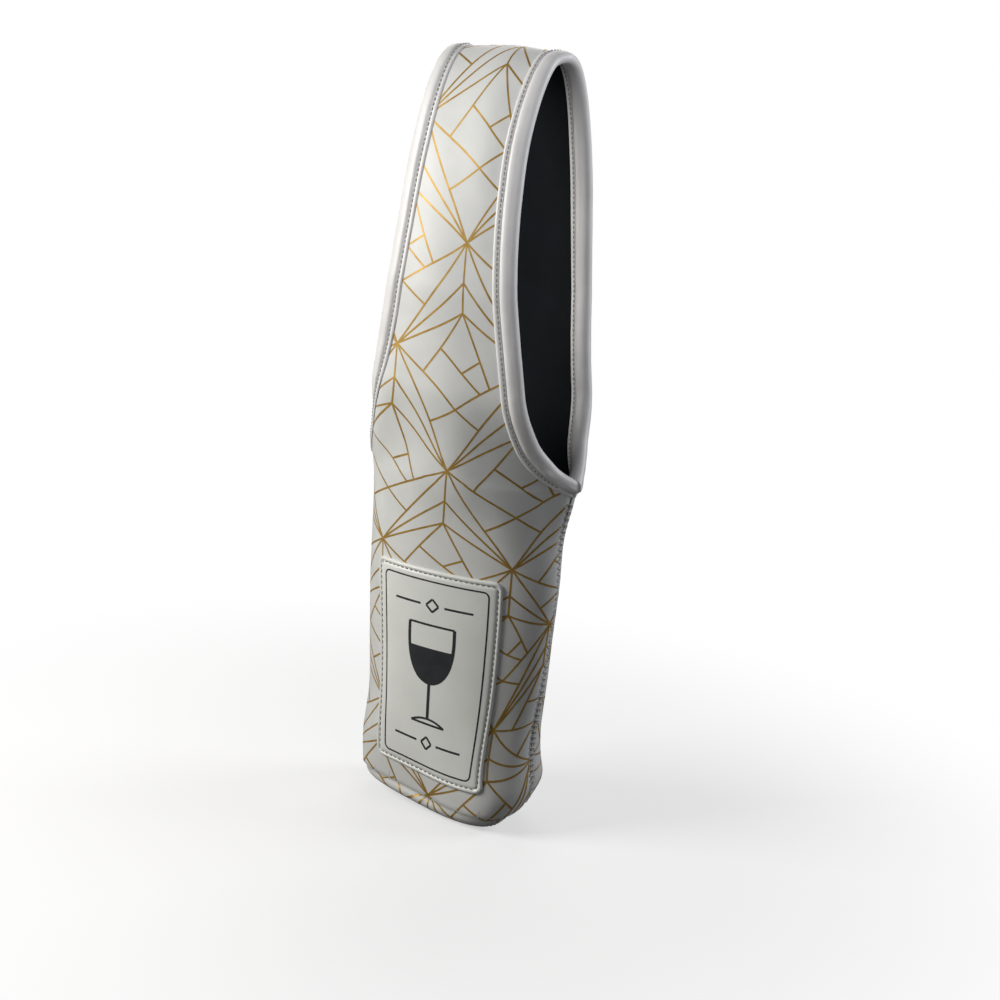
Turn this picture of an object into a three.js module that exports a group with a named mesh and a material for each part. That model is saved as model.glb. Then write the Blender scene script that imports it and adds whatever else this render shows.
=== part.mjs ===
// Bottle cooler sleeve: one foam-rubber strip runs up the front, over the top as a handle and down
// the back. Side seams close its lower half, a panel closes its foot, and two bound side openings
// leave the handle loop.
// Millimetres, +Z up, the front faces -Y, the origin is the middle of the base.
import * as THREE from 'three';

// Overall sizes.
const HEIGHT = 410;
const MOUTH_HEIGHT = 190;
const BASE_WIDTH = 96;
const BASE_DEPTH = 56;
const BASE_ROUND = 10;
const BASE_PROUD = 0.3;
const BODY_WIDTH = 111;
const BODY_DEPTH = 51;
const MOUTH_WIDTH = 122;
const MOUTH_DEPTH = 64;
const STRAP_WIDTH = 67;
const LOOP_DEPTH = 82;
const STRAP_CROWN = 5;
const MOUTH_ROUND = 1.6;
const BASE_TWIST = -8;

// The laminate, from the outside in.
const FACE_THICK = 0.6;
const CORE_THICK = 2.4;
const LINING_THICK = 0.5;
const LAYER_GAP = 0.05;
const SEAM_GAP = 0.3;

// Edge binding, patch and threads.
const TAPE_THICK = 1.0;
const TAPE_COVER = 9.5;
const TAPE_GAP = 0.55;
const TAPE_EASE = 0.4;
const PATCH_WIDTH = 76;
const PATCH_HEIGHT = 117;
const PATCH_CORNER = 5;
const PATCH_THICK = 1.1;
const PATCH_GAP = 0.3;
const PATCH_BOTTOM = 21;
const PATCH_SHIFT = 1;
const PATCH_TILT = 4.5;
const THREAD_RADIUS = 0.28;
const THREAD_GAP = 0.12;
const PATCH_STITCH_INSET = 2.6;
const TAPE_STITCH_INSET = 1.7;
const ZIGZAG_REACH = 2.2;
const ZIGZAG_STEP = 3.4;

// How finely the strip is divided.
const COLUMNS = [0, 0.3, 0.58, 0.8, 0.92, 1];
const ROUND_ROWS = 3;
const BODY_ROWS = 9;
const STRAP_ROWS = 16;

const LAMINATE = FACE_THICK + CORE_THICK + LINING_THICK + 2 * LAYER_GAP;
const SEAM_REACH = LAMINATE + TAPE_GAP + TAPE_EASE + TAPE_THICK + SEAM_GAP;

// A smooth curve through given stations.
function through(stations, values) {
  const last = stations.length - 1;
  const slope = (i) => {
    const low = Math.max(0, i - 1);
    const high = Math.min(last, i + 1);
    return (values[high] - values[low]) / (stations[high] - stations[low]);
  };
  return (at) => {
    let i = 0;
    while (i < last - 1 && at > stations[i + 1]) i += 1;
    const span = stations[i + 1] - stations[i];
    const t = Math.min(1, Math.max(0, (at - stations[i]) / span));
    const hold = (1 + 2 * t) * (1 - t) * (1 - t) * values[i] + t * t * (3 - 2 * t) * values[i + 1];
    return hold + span * t * (1 - t) * ((1 - t) * slope(i) - t * slope(i + 1));
  };
}

// The tube below the openings: half width, half depth and squareness up the height.
const TUBE_AT = [0, 0.16, 0.4, 0.72, 1];
const bodyHalf = BODY_WIDTH / 2;
const baseHalf = BASE_WIDTH / 2;
const mouthHalf = MOUTH_WIDTH / 2;
const tubeHalf = through(TUBE_AT, [
  baseHalf, 0.5 * (baseHalf + bodyHalf), bodyHalf, 0.5 * (bodyHalf + mouthHalf), mouthHalf]);
const tubeDepth = through(TUBE_AT, [
  BASE_DEPTH / 2, 0.5 * (BASE_DEPTH / 2 + BODY_DEPTH / 2), BODY_DEPTH / 2, 0.35 * BODY_DEPTH + 0.15 * MOUTH_DEPTH,
  MOUTH_DEPTH / 2]);
const tubeSquare = through(TUBE_AT, [4, 2.8, 2.2, 2, 2]);
const tubeRound = through(TUBE_AT, [4, 2.6, 2.1, 1.9, MOUTH_ROUND]);

// The strap: the panel leaves the mouth, flattens to a shallow trough and closes in an arch at the top.
const OVAL_MIDDLE = 0.45;
const FLATTENED = 0.23;
const strapSpan = HEIGHT - MOUTH_HEIGHT;
const loopHalf = LOOP_DEPTH / 2;
const strapHalf = through([0, 0.05, 0.11, 0.25, 0.5, 0.75, 1], [
  mouthHalf, 0.66 * mouthHalf + 0.23 * STRAP_WIDTH, 0.38 * mouthHalf + 0.395 * STRAP_WIDTH, 0.655 * STRAP_WIDTH,
  0.54 * STRAP_WIDTH, 0.49 * STRAP_WIDTH, 0.51 * STRAP_WIDTH]);
const troughDepth = through([0, FLATTENED, OVAL_MIDDLE], [loopHalf, 1.06 * loopHalf, loopHalf + STRAP_CROWN]);
const troughBend = through([0, OVAL_MIDDLE, 0.75, 1], [0.8, 1, 0.8, 0.5]);

// Depth of the panel in front of the middle plane, at a distance from its centre line.
function panelDepth(x, rise) {
  const mouth = MOUTH_DEPTH / 2 * Math.pow(Math.max(0, 1 - (x / mouthHalf) ** 2), 1 / MOUTH_ROUND);
  const bend = troughBend(rise) * STRAP_CROWN / (STRAP_WIDTH / 2) ** 2;
  const trough = troughDepth(Math.min(rise, OVAL_MIDDLE)) - bend * x ** 2;
  const t = Math.min(1, rise / FLATTENED);
  const share = t * t * (3 - 2 * t);
  return (1 - share) * mouth + share * trough;
}

function edgeDepth(rise) {
  const low = Math.min(rise, OVAL_MIDDLE);
  const above = (rise - low) / (1 - OVAL_MIDDLE);
  return panelDepth(strapHalf(low), low) * Math.pow(Math.max(0, 1 - above ** 2.2), 1 / 2.2);
}

// Rise of the strap edge by its share of the edge length, from the mouth corner to the top.
const EDGE_TABLE = [];
for (let k = 0, length = 0; k <= 300; k += 1) {
  const rise = (1 - Math.cos(Math.PI * k / 300)) / 2;
  if (k > 0) {
    const before = EDGE_TABLE[k - 1];
    length += Math.hypot(edgeDepth(rise) - edgeDepth(before.rise), (rise - before.rise) * strapSpan);
  }
  EDGE_TABLE.push({ rise, length });
}

function riseAt(share) {
  const wanted = share * EDGE_TABLE[300].length;
  let k = 1;
  while (k < 300 && EDGE_TABLE[k].length < wanted) k += 1;
  const low = EDGE_TABLE[k - 1];
  const high = EDGE_TABLE[k];
  return low.rise + (high.rise - low.rise) * (wanted - low.length) / (high.length - low.length);
}

// The cross-section at v: -1 to 0 is the rounded base edge, 0 to 1 the tube, 1 to 2 the strap.
function sectionAt(v) {
  if (v <= 1) {
    const turn = Math.max(0, -v) * Math.PI / 2;
    const inset = BASE_ROUND * (1 - Math.cos(turn));
    const up = Math.max(0, v);
    const half = tubeHalf(up) - inset;
    const deep = tubeDepth(up) - inset;
    const rounding = BASE_PROUD + (BASE_ROUND - BASE_PROUD) * (1 - Math.sin(turn));
    const height = rounding + up * (MOUTH_HEIGHT - BASE_ROUND);
    const square = tubeSquare(up);
    const round = tubeRound(up);
    return { half, edge: 0, lean: 0, height, deep, square, round };
  }
  const rise = riseAt(v - 1);
  const half = strapHalf(rise);
  const edge = edgeDepth(rise);
  const above = Math.max(0, (rise - OVAL_MIDDLE) / (1 - OVAL_MIDDLE));
  const lean = Math.atan2(above * loopHalf ** 2, Math.max(1e-6, edge) * strapSpan * (1 - OVAL_MIDDLE));
  return { half, edge, lean, height: MOUTH_HEIGHT + rise * strapSpan, rise };
}

// A point of the outer surface; u runs from seam to seam by length, face is -1 in front, 1 behind.
function surface(u, v, face) {
  const s = sectionAt(v);
  const steps = 40;
  const xs = [];
  const ds = [];
  const along = [0];
  for (let k = 0; k <= steps; k += 1) {
    const turn = Math.PI / 2 * k / steps;
    if (v <= 1) {
      xs.push(s.half * Math.pow(Math.sin(turn), 2 / s.square));
      ds.push(s.deep * Math.pow(Math.max(0, Math.cos(turn)), 2 / s.round));
    } else {
      xs.push(s.half * Math.sin(turn));
      ds.push(panelDepth(xs[k], s.rise) - panelDepth(s.half, s.rise));
    }
    if (k > 0) along.push(along[k - 1] + Math.hypot(xs[k] - xs[k - 1], ds[k] - ds[k - 1]));
  }
  const wanted = Math.min(1, Math.abs(u)) * along[steps];
  let k = 1;
  while (k < steps && along[k] < wanted) k += 1;
  const t = (wanted - along[k - 1]) / (along[k] - along[k - 1]);
  const x = xs[k - 1] + t * (xs[k] - xs[k - 1]);
  const d = ds[k - 1] + t * (ds[k] - ds[k - 1]);
  const y = s.edge + SEAM_GAP / 2 + d * Math.cos(s.lean);
  const point = new THREE.Vector3(Math.sign(u) * x, face * y, s.height + d * Math.sin(s.lean));
  return point;
}

// The foot stands a little turned against the loop, fading out up the tube.
const UPRIGHT = new THREE.Vector3(0, 0, 1);

function turned(vector, v) {
  const left = Math.min(1, Math.max(0, 1 - v / 0.65));
  const turn = BASE_TWIST * left * left * (3 - 2 * left);
  return vector.applyAxisAngle(UPRIGHT, turn * Math.PI / 180);
}

// Point, outward normal and the two directions of the surface.
function place(u, v, face) {
  const du = 0.02;
  const dv = 0.006;
  const lowU = Math.max(-1, u - du);
  const highU = Math.min(1, u + du);
  let lowV = Math.max(-1, v - dv);
  let highV = Math.min(2, v + dv);
  if (v > 1 && lowV < 1) lowV = 1;
  if (v < 1 && highV > 1) highV = 1;
  const across = surface(highU, v, face).sub(surface(lowU, v, face)).divideScalar(highU - lowU);
  const up = surface(u, highV, face).sub(surface(u, lowV, face)).divideScalar(highV - lowV);
  const normal = new THREE.Vector3().crossVectors(across, up).multiplyScalar(-face).normalize();
  const point = surface(u, v, face);
  if (v < 1.5) {
    const room = Math.max(0, Math.abs(point.y) - SEAM_GAP / 2) / SEAM_REACH;
    if (Math.abs(normal.y) > room) {
      const rest = Math.sqrt((1 - room ** 2) / (normal.x ** 2 + normal.z ** 2));
      normal.set(normal.x * rest, face * room, normal.z * rest);
    }
  }
  if (v <= -0.999) normal.set(0, 0, -1);
  if (v >= 1.999) normal.set(0, 0, 1);
  for (const vector of [point, normal, across, up]) turned(vector, v);
  return { point, normal, across, up };
}

function lift(spot, height) {
  return spot.point.clone().addScaledVector(spot.normal, height);
}

// Levels of the rows up one face, closer together where the strap edges leave the mouth corner.
const strapLevels = [];
for (let k = 0; k <= STRAP_ROWS; k += 1) strapLevels.push(1 + (k / STRAP_ROWS) ** 1.55);
const levels = [];
for (let k = -ROUND_ROWS; k < 0; k += 1) levels.push(k / ROUND_ROWS);
for (let k = 0; k < BODY_ROWS; k += 1) levels.push(1 - (1 - k / BODY_ROWS) ** 1.35);
levels.push(...strapLevels);

// A spot on the flat facets of the strip, so that what lies on it keeps an even clearance.
function facetSpot(u, v, face) {
  const cell = (list, at) => {
    let i = 0;
    while (i < list.length - 2 && at > list[i + 1]) i += 1;
    return [i, (at - list[i]) / (list[i + 1] - list[i])];
  };
  const [i, s] = cell(COLUMNS, Math.abs(u));
  const [k, t] = cell(levels, v);
  const side = u < 0 ? -1 : 1;
  const corner = (di, dk) => place(side * COLUMNS[i + di], levels[k + dk], face);
  const blend = (key) => {
    const low = corner(0, 0)[key].clone().lerp(corner(1, 0)[key], s);
    return low.lerp(corner(0, 1)[key].clone().lerp(corner(1, 1)[key], s), t);
  };
  return { point: blend('point'), normal: blend('normal') };
}

// Rows of the strip from the foot of the front, over the top and down to the foot of the back.
const sides = [];
for (let j = 1 - COLUMNS.length; j < COLUMNS.length; j += 1) sides.push(j);
const columnAt = (j) => Math.sign(j) * COLUMNS[Math.abs(j)];

function stripRows() {
  const rows = [];
  const addRow = (v, face) => {
    const row = new Map();
    for (const j of sides) row.set(j, place(columnAt(j), v, face));
    rows.push(row);
  };
  for (const v of levels) addRow(v, -1);
  for (const v of levels.slice(0, -1).reverse()) addRow(v, 1);
  return rows;
}

// A closed layer of the strip between two depths below the outer surface.
function layer(rows, outerDepth, innerDepth) {
  const vertices = [];
  const ids = rows.map(() => new Map());
  rows.forEach((row, i) => {
    for (const [j, spot] of row) {
      ids[i].set(j, vertices.length);
      vertices.push([lift(spot, -outerDepth), lift(spot, -innerDepth)]);
    }
  });
  const count = vertices.length;
  const index = [];
  const open = new Map();
  const quad = (a, b, c, d) => {
    index.push(a, b, c, a, c, d);
    index.push(a + count, c + count, b + count, a + count, d + count, c + count);
    for (const [from, to] of [[a, b], [b, c], [c, d], [d, a]]) {
      if (open.has(`${to},${from}`)) open.delete(`${to},${from}`);
      else open.set(`${from},${to}`, [from, to]);
    }
  };
  for (let i = 0; i + 1 < rows.length; i += 1) {
    for (let j = 1 - COLUMNS.length; j < COLUMNS.length - 1; j += 1) {
      const corners = [ids[i].get(j), ids[i].get(j + 1), ids[i + 1].get(j + 1), ids[i + 1].get(j)];
      if (corners.every((id) => id !== undefined)) quad(...corners);
    }
  }
  for (const [from, to] of open.values()) {
    index.push(to, from, from + count, to, from + count, to + count);
  }
  const points = vertices.map((pair) => pair[0]).concat(vertices.map((pair) => pair[1]));
  return solid(points, index);
}

function solid(points, index) {
  const geometry = new THREE.BufferGeometry();
  const flat = points.flatMap((p) => [p.x, p.y, p.z]);
  geometry.setAttribute('position', new THREE.Float32BufferAttribute(flat, 3));
  geometry.setIndex(index);
  geometry.computeVertexNormals();
  return geometry;
}

// A flat layer of the base panel, cut just inside the edge of the rounded foot.
function basePlate(bottom, top) {
  const shrink = 1 - SEAM_GAP / sectionAt(-1).deep;
  const rim = sides.map((j) => surface(columnAt(j), -1, -1));
  rim.push(...sides.map((j) => surface(columnAt(-j), -1, 1)));
  const at = (p, height) => turned(new THREE.Vector3(p.x * shrink, p.y * shrink, height), -1);
  const points = [...rim.map((p) => at(p, bottom)), ...rim.map((p) => at(p, top))];
  const count = rim.length;
  points.push(new THREE.Vector3(0, 0, bottom), new THREE.Vector3(0, 0, top));
  const index = [];
  for (let k = 0; k < count; k += 1) {
    const next = (k + 1) % count;
    index.push(2 * count, next, k);
    index.push(2 * count + 1, k + count, next + count);
    index.push(k, next, next + count, k, next + count, k + count);
  }
  return turnedOut(solid(points, index));
}

// A skin drawn through rings of points; open rings are capped at both ends.
function sweep(rings, closed) {
  const size = rings[0].length;
  const points = rings.flat();
  const index = [];
  const laps = closed ? rings.length : rings.length - 1;
  for (let i = 0; i < laps; i += 1) {
    const next = (i + 1) % rings.length;
    for (let k = 0; k < size; k += 1) {
      const turn = (k + 1) % size;
      const a = i * size + k;
      const b = i * size + turn;
      const c = next * size + turn;
      const d = next * size + k;
      index.push(a, b, c, a, c, d);
    }
  }
  if (!closed) {
    const half = size / 2;
    const last = (rings.length - 1) * size;
    for (let k = 0; k + 1 < half; k += 1) {
      const a = k;
      const b = k + 1;
      const c = size - 2 - k;
      const d = size - 1 - k;
      index.push(a, c, b, a, d, c);
      index.push(last + a, last + b, last + c, last + a, last + c, last + d);
    }
  }
  const geometry = solid(points, index);
  return turnedOut(geometry);
}

function turnedOut(geometry) {
  const p = geometry.attributes.position;
  const id = geometry.index.array;
  const a = new THREE.Vector3();
  const b = new THREE.Vector3();
  const c = new THREE.Vector3();
  let volume = 0;
  for (let k = 0; k < id.length; k += 3) {
    a.fromBufferAttribute(p, id[k]);
    b.fromBufferAttribute(p, id[k + 1]);
    c.fromBufferAttribute(p, id[k + 2]);
    volume += a.dot(b.cross(c));
  }
  if (volume < 0) {
    geometry.setIndex(Array.from(id).reverse());
    geometry.computeVertexNormals();
  }
  return geometry;
}

// Walk over the surface from a spot, a given length along an in-surface direction.
function walk(u, v, face, direction, length) {
  const spot = place(u, v, face);
  const uu = spot.across.lengthSq();
  const uv = spot.across.dot(spot.up);
  const vv = spot.up.lengthSq();
  const du = direction.dot(spot.across);
  const dv = direction.dot(spot.up);
  const det = uu * vv - uv * uv;
  const nextU = u + length * (du * vv - dv * uv) / det;
  const nextV = v + length * (dv * uu - du * uv) / det;
  return [Math.min(1, Math.max(-1, nextU)), Math.max(0, Math.min(2, nextV))];
}

// Stations along one opening edge, each with spots walked in from the edge.
const TAPE_STEPS = [0, 0.25, 0.5, 0.75, 1];

function tapeStations(side) {
  const stations = [];
  const addStation = (v, face) => {
    const edge = place(side, v, face);
    const inward = new THREE.Vector3().crossVectors(edge.normal, edge.up).normalize();
    if (inward.dot(edge.across) * side > 0) inward.negate();
    if (v === 1) inward.subVectors(surface(side, 0.98, face), edge.point).setY(0).normalize();
    let here = [side, v];
    let done = 0;
    const spots = TAPE_STEPS.map((step) => {
      here = step > 0 ? walk(here[0], here[1], face, inward, (step - done) * TAPE_COVER) : here;
      done = step;
      return facetSpot(here[0], here[1], face);
    });
    stations.push({ edge, inward, spots });
  };
  for (const v of strapLevels) addStation(v, -1);
  for (const v of strapLevels.slice(0, -1).reverse()) addStation(v, 1);
  return stations;
}

function tape(side) {
  const middle = -LAMINATE / 2;
  const inner = LAMINATE / 2 + TAPE_GAP;
  const outer = inner + TAPE_THICK;
  const turns = [30, 90, 150];
  const stations = tapeStations(side);
  const rings = stations.map(({ edge, inward, spots }, i) => {
    const fromEnd = Math.min(i, stations.length - 1 - i);
    const ease = TAPE_EASE * (1 + Math.max(0, 1 - fromEnd / 2));
    const core = lift(edge, middle).addScaledVector(inward, -ease);
    const arc = (radius) => turns.map((angle) => {
      const turn = angle * Math.PI / 180;
      const rim = core.clone().addScaledVector(edge.normal, radius * Math.cos(turn));
      return rim.addScaledVector(inward, -radius * Math.sin(turn));
    });
    const leaf = (offset) => spots.map((spot) => lift(spot, middle + offset));
    const outside = [...leaf(outer).reverse(), ...arc(outer), ...leaf(-outer - TAPE_EASE)];
    const inside = [...leaf(inner).reverse(), ...arc(inner), ...leaf(-inner - TAPE_EASE)];
    return outside.concat(inside.reverse());
  });
  return sweep(rings, false);
}

// A round thread laid along spots at a height over the surface.
function thread(spots, height, closed) {
  const path = spots.map((spot) => lift(spot, height + THREAD_GAP + THREAD_RADIUS));
  const rings = path.map((centre, i) => {
    const before = path[closed ? (i + path.length - 1) % path.length : Math.max(0, i - 1)];
    const after = path[closed ? (i + 1) % path.length : Math.min(path.length - 1, i + 1)];
    const ahead = after.clone().sub(before).normalize();
    const aside = new THREE.Vector3().crossVectors(ahead, spots[i].normal).normalize();
    const above = new THREE.Vector3().crossVectors(aside, ahead).normalize();
    return [0, 1, 2, 3].map((k) => {
      const turn = Math.PI / 4 + k * Math.PI / 2;
      const rim = centre.clone().addScaledVector(aside, THREAD_RADIUS * Math.cos(turn));
      return rim.addScaledVector(above, THREAD_RADIUS * Math.sin(turn));
    });
  });
  return sweep(rings, closed);
}

function tapeThread(side) {
  const share = (TAPE_COVER - TAPE_STITCH_INSET) / TAPE_COVER;
  const spots = tapeStations(side).map((station) => {
    const [near, far] = station.spots.slice(-2);
    const span = 1 - TAPE_STEPS.at(-2);
    const t = (share - TAPE_STEPS.at(-2)) / span;
    return { point: near.point.clone().lerp(far.point, t), normal: near.normal.clone().lerp(far.normal, t).normalize() };
  });
  return thread(spots, TAPE_GAP + TAPE_THICK, false);
}

// Half the length of the outline at v, from the middle of the face to the seam.
function halfLength(v) {
  let length = 0;
  for (let k = 0; k < 20; k += 1) length += surface(k / 20, v, -1).distanceTo(surface((k + 1) / 20, v, -1));
  return length;
}

const tubeShare = (height) => (height - BASE_ROUND) / (MOUTH_HEIGHT - BASE_ROUND);

// A zigzag over a side seam, from the base rounding up to the binding.
function seamThread(side) {
  const start = tubeShare(BASE_ROUND + 2);
  const end = tubeShare(MOUTH_HEIGHT - TAPE_COVER - 5);
  const turns = Math.round((end - start) * (MOUTH_HEIGHT - BASE_ROUND) / ZIGZAG_STEP) * 2;
  const spots = [];
  for (let k = 0; k <= turns; k += 1) {
    const v = start + (end - start) * k / turns;
    const face = k % 4 < 2 ? -1 : 1;
    const reach = k % 2 === 0 ? ZIGZAG_REACH : 0;
    spots.push(place(side * (1 - reach / halfLength(v)), v, face));
  }
  return thread(spots, 0.1, false);
}

// A zigzag along the rounded foot of a short side, from the front corner to the back corner.
function cornerThread(side) {
  const spots = [];
  const from = 0.7;
  const turns = 14;
  for (let k = -turns; k <= turns; k += 1) {
    const face = k < 0 ? -1 : 1;
    const u = side * (1 - (1 - from) * Math.abs(k) / turns);
    const v = k % 2 === 0 ? -0.24 : -0.5;
    spots.push(place(u, v, face));
  }
  return thread(spots, 0.1, false);
}

// The patch: a plate with rounded corners bent to the front of the tube.
const patchMiddle = PATCH_BOTTOM + PATCH_HEIGHT / 2;

function patchSpot(across, up) {
  const tilt = PATCH_TILT * Math.PI / 180;
  const v = tubeShare(patchMiddle + up * Math.cos(tilt) + across * Math.sin(tilt));
  const from = PATCH_SHIFT + across * Math.cos(tilt) - up * Math.sin(tilt);
  return place(from / halfLength(v), v, -1);
}

function patchRows() {
  const rows = [];
  const flat = PATCH_HEIGHT / 2 - PATCH_CORNER;
  for (let k = 0; k <= 3; k += 1) {
    const turn = Math.PI / 2 * (1 - k / 3);
    const pull = PATCH_CORNER * (1 - Math.cos(turn));
    rows.push({ up: flat + PATCH_CORNER * Math.sin(turn), half: PATCH_WIDTH / 2 - pull });
  }
  const middle = [];
  for (let k = 1; k < 10; k += 1) middle.push({ up: flat * (1 - k / 5), half: PATCH_WIDTH / 2 });
  const lower = rows.map((row) => ({ up: -row.up, half: row.half })).reverse();
  return [...rows, ...middle, ...lower];
}

function patch() {
  const rows = patchRows();
  const columns = 10;
  const low = [];
  const high = [];
  for (const row of rows) {
    for (let j = 0; j <= columns; j += 1) {
      const spot = patchSpot(row.half * (2 * j / columns - 1), row.up);
      low.push(lift(spot, PATCH_GAP));
      high.push(lift(spot, PATCH_GAP + PATCH_THICK));
    }
  }
  const index = [];
  const count = low.length;
  const wide = columns + 1;
  for (let i = 0; i + 1 < rows.length; i += 1) {
    for (let j = 0; j < columns; j += 1) {
      const a = i * wide + j;
      const b = a + 1;
      const c = b + wide;
      const d = a + wide;
      index.push(a, b, c, a, c, d);
      index.push(a + count, c + count, b + count, a + count, d + count, c + count);
    }
  }
  const rim = [];
  for (let j = 0; j < columns; j += 1) rim.push(j);
  for (let i = 0; i + 1 < rows.length; i += 1) rim.push(i * wide + columns);
  for (let j = columns; j > 0; j -= 1) rim.push((rows.length - 1) * wide + j);
  for (let i = rows.length - 1; i > 0; i -= 1) rim.push(i * wide);
  rim.forEach((from, k) => {
    const to = rim[(k + 1) % rim.length];
    index.push(to, from, from + count, to, from + count, to + count);
  });
  return turnedOut(solid(low.concat(high), index));
}

function patchThread() {
  const half = PATCH_WIDTH / 2 - PATCH_STITCH_INSET;
  const tall = PATCH_HEIGHT / 2 - PATCH_STITCH_INSET;
  const round = PATCH_CORNER - 0.4 * PATCH_STITCH_INSET;
  const spots = [];
  const run = (x0, y0, x1, y1, steps) => {
    for (let k = 0; k < steps; k += 1) {
      spots.push(patchSpot(x0 + (x1 - x0) * k / steps, y0 + (y1 - y0) * k / steps));
    }
  };
  const turn = (x, y, start) => {
    for (let k = 0; k < 3; k += 1) {
      const angle = start - k / 3 * Math.PI / 2;
      spots.push(patchSpot(x + round * Math.cos(angle), y + round * Math.sin(angle)));
    }
  };
  run(-half + round, tall, half - round, tall, 8);
  turn(half - round, tall - round, Math.PI / 2);
  run(half, tall - round, half, round - tall, 10);
  turn(half - round, round - tall, 0);
  run(half - round, -tall, round - half, -tall, 8);
  turn(round - half, round - tall, -Math.PI / 2);
  run(-half, round - tall, -half, tall - round, 10);
  turn(round - half, tall - round, Math.PI);
  return thread(spots, PATCH_GAP + PATCH_THICK + 0.05, true);
}

// Materials.
const face = new THREE.MeshStandardMaterial({ color: 0xdcdad5, roughness: 0.55, metalness: 0 });
const foam = new THREE.MeshStandardMaterial({ color: 0x17191c, roughness: 0.9, metalness: 0 });
const lining = new THREE.MeshStandardMaterial({ color: 0x0d1318, roughness: 0.85, metalness: 0 });
const binding = new THREE.MeshStandardMaterial({ color: 0xe6e4e0, roughness: 0.5, metalness: 0 });
const leather = new THREE.MeshStandardMaterial({ color: 0xd9dbd5, roughness: 0.45, metalness: 0 });
const yarn = new THREE.MeshStandardMaterial({ color: 0xd2d1cc, roughness: 0.7, metalness: 0 });

const sleeve = new THREE.Group();
sleeve.name = 'bottle_cooler_sleeve';

function add(name, geometry, material) {
  const mesh = new THREE.Mesh(geometry, material);
  mesh.name = name;
  sleeve.add(mesh);
}

const rows = stripRows();
const coreTop = FACE_THICK + LAYER_GAP;
const liningTop = coreTop + CORE_THICK + LAYER_GAP;
add('sleeve_face', turnedOut(layer(rows, 0, FACE_THICK)), face);
add('sleeve_core', turnedOut(layer(rows, coreTop, coreTop + CORE_THICK)), foam);
add('sleeve_lining', turnedOut(layer(rows, liningTop, liningTop + LINING_THICK)), lining);
add('base_face', basePlate(0, FACE_THICK), face);
add('base_core', basePlate(coreTop, coreTop + CORE_THICK), foam);
add('base_lining', basePlate(liningTop, liningTop + LINING_THICK), lining);
add('patch', patch(), leather);
add('patch_thread', patchThread(), yarn);
for (const [name, side] of [['right', 1], ['left', -1]]) {
  add(`${name}_binding`, tape(side), binding);
  add(`${name}_binding_thread`, tapeThread(side), yarn);
  add(`${name}_seam_thread`, seamThread(side), yarn);
  add(`${name}_corner_thread`, cornerThread(side), yarn);
}

export default sleeve;
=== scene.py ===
# %% [markdown]
# # A bottle cooler sleeve
# The real sleeve is a soft tote for one bottle. A single strip of foam-rubber laminate runs up the
# front, over the top as a handle and down the back. Side seams close its lower half, a flat panel
# closes its foot, a folded white tape binds the two side openings, and a patch is sewn on the front.
#
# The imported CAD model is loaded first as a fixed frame. Its solids already stand at the right size,
# so every softer, finer piece below is laid over the same shape and takes a solid's place.

from collections import namedtuple
from math import cos, pi, radians, sin

import bpy
import numpy as np
from mathutils import Matrix, Vector


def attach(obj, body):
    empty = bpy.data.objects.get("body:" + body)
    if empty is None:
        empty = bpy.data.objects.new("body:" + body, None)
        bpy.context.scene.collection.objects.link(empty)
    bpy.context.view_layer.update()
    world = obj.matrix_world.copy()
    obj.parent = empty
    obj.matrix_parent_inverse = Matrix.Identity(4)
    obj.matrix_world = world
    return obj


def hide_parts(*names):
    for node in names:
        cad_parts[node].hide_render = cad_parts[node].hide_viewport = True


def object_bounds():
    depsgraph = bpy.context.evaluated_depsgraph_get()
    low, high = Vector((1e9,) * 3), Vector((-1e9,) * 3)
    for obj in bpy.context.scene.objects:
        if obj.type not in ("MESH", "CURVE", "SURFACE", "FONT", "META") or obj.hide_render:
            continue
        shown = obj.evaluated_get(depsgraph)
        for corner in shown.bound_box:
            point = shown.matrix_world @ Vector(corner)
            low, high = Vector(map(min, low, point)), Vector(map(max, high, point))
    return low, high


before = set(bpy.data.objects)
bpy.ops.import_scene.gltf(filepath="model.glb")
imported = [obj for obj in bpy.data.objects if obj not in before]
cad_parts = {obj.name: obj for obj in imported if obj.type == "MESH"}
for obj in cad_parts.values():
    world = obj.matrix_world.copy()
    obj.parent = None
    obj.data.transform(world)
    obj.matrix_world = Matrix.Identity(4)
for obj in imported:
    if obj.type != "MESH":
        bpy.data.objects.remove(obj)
cad_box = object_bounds()
BODY = "root"
MM = 0.001
cad_mm = [round(1000 * x, 1) for x in cad_box[1] - cad_box[0]]
print("CAD nodes:", len(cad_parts), "box in mm:", cad_mm)

# %% [markdown]
# ## The camera
# A photograph fixes the eye, the direction and the lens together. The eye stands a little to the
# right of the sleeve's front and slightly above it, and the picture is rolled a few degrees, so that
# the upright sleeve leans to the right. The camera is made early, because each render is compared
# with the photograph in the same frame.

# %% Place the camera
EYE_AZIMUTH = radians(27.5)
EYE_HEIGHT = radians(13.0)
EYE_DISTANCE = 0.885
EYE_ROLL = radians(5.3)
AIM_SIDE = 0.0148
AIM_HEIGHT = 0.1755
FOCAL_PIXELS = 1634.0
PICTURE_PIXELS = 1000.0


def put(name, data):
    """A new object in the scene."""
    made = bpy.data.objects.new(name, data)
    bpy.context.scene.collection.objects.link(made)
    return made


def toward(azimuth, height):
    """Direction from the sleeve; azimuth turns from the front to the right."""
    return Vector((sin(azimuth) * cos(height), -cos(azimuth) * cos(height), sin(height)))


to_eye = toward(EYE_AZIMUTH, EYE_HEIGHT)
level = Vector((cos(EYE_AZIMUTH), sin(EYE_AZIMUTH), 0))
upright = to_eye.cross(level)
right = cos(EYE_ROLL) * level + sin(EYE_ROLL) * upright
above = cos(EYE_ROLL) * upright - sin(EYE_ROLL) * level
eye = AIM_SIDE * level + Vector((0, 0, AIM_HEIGHT)) + EYE_DISTANCE * to_eye

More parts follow.
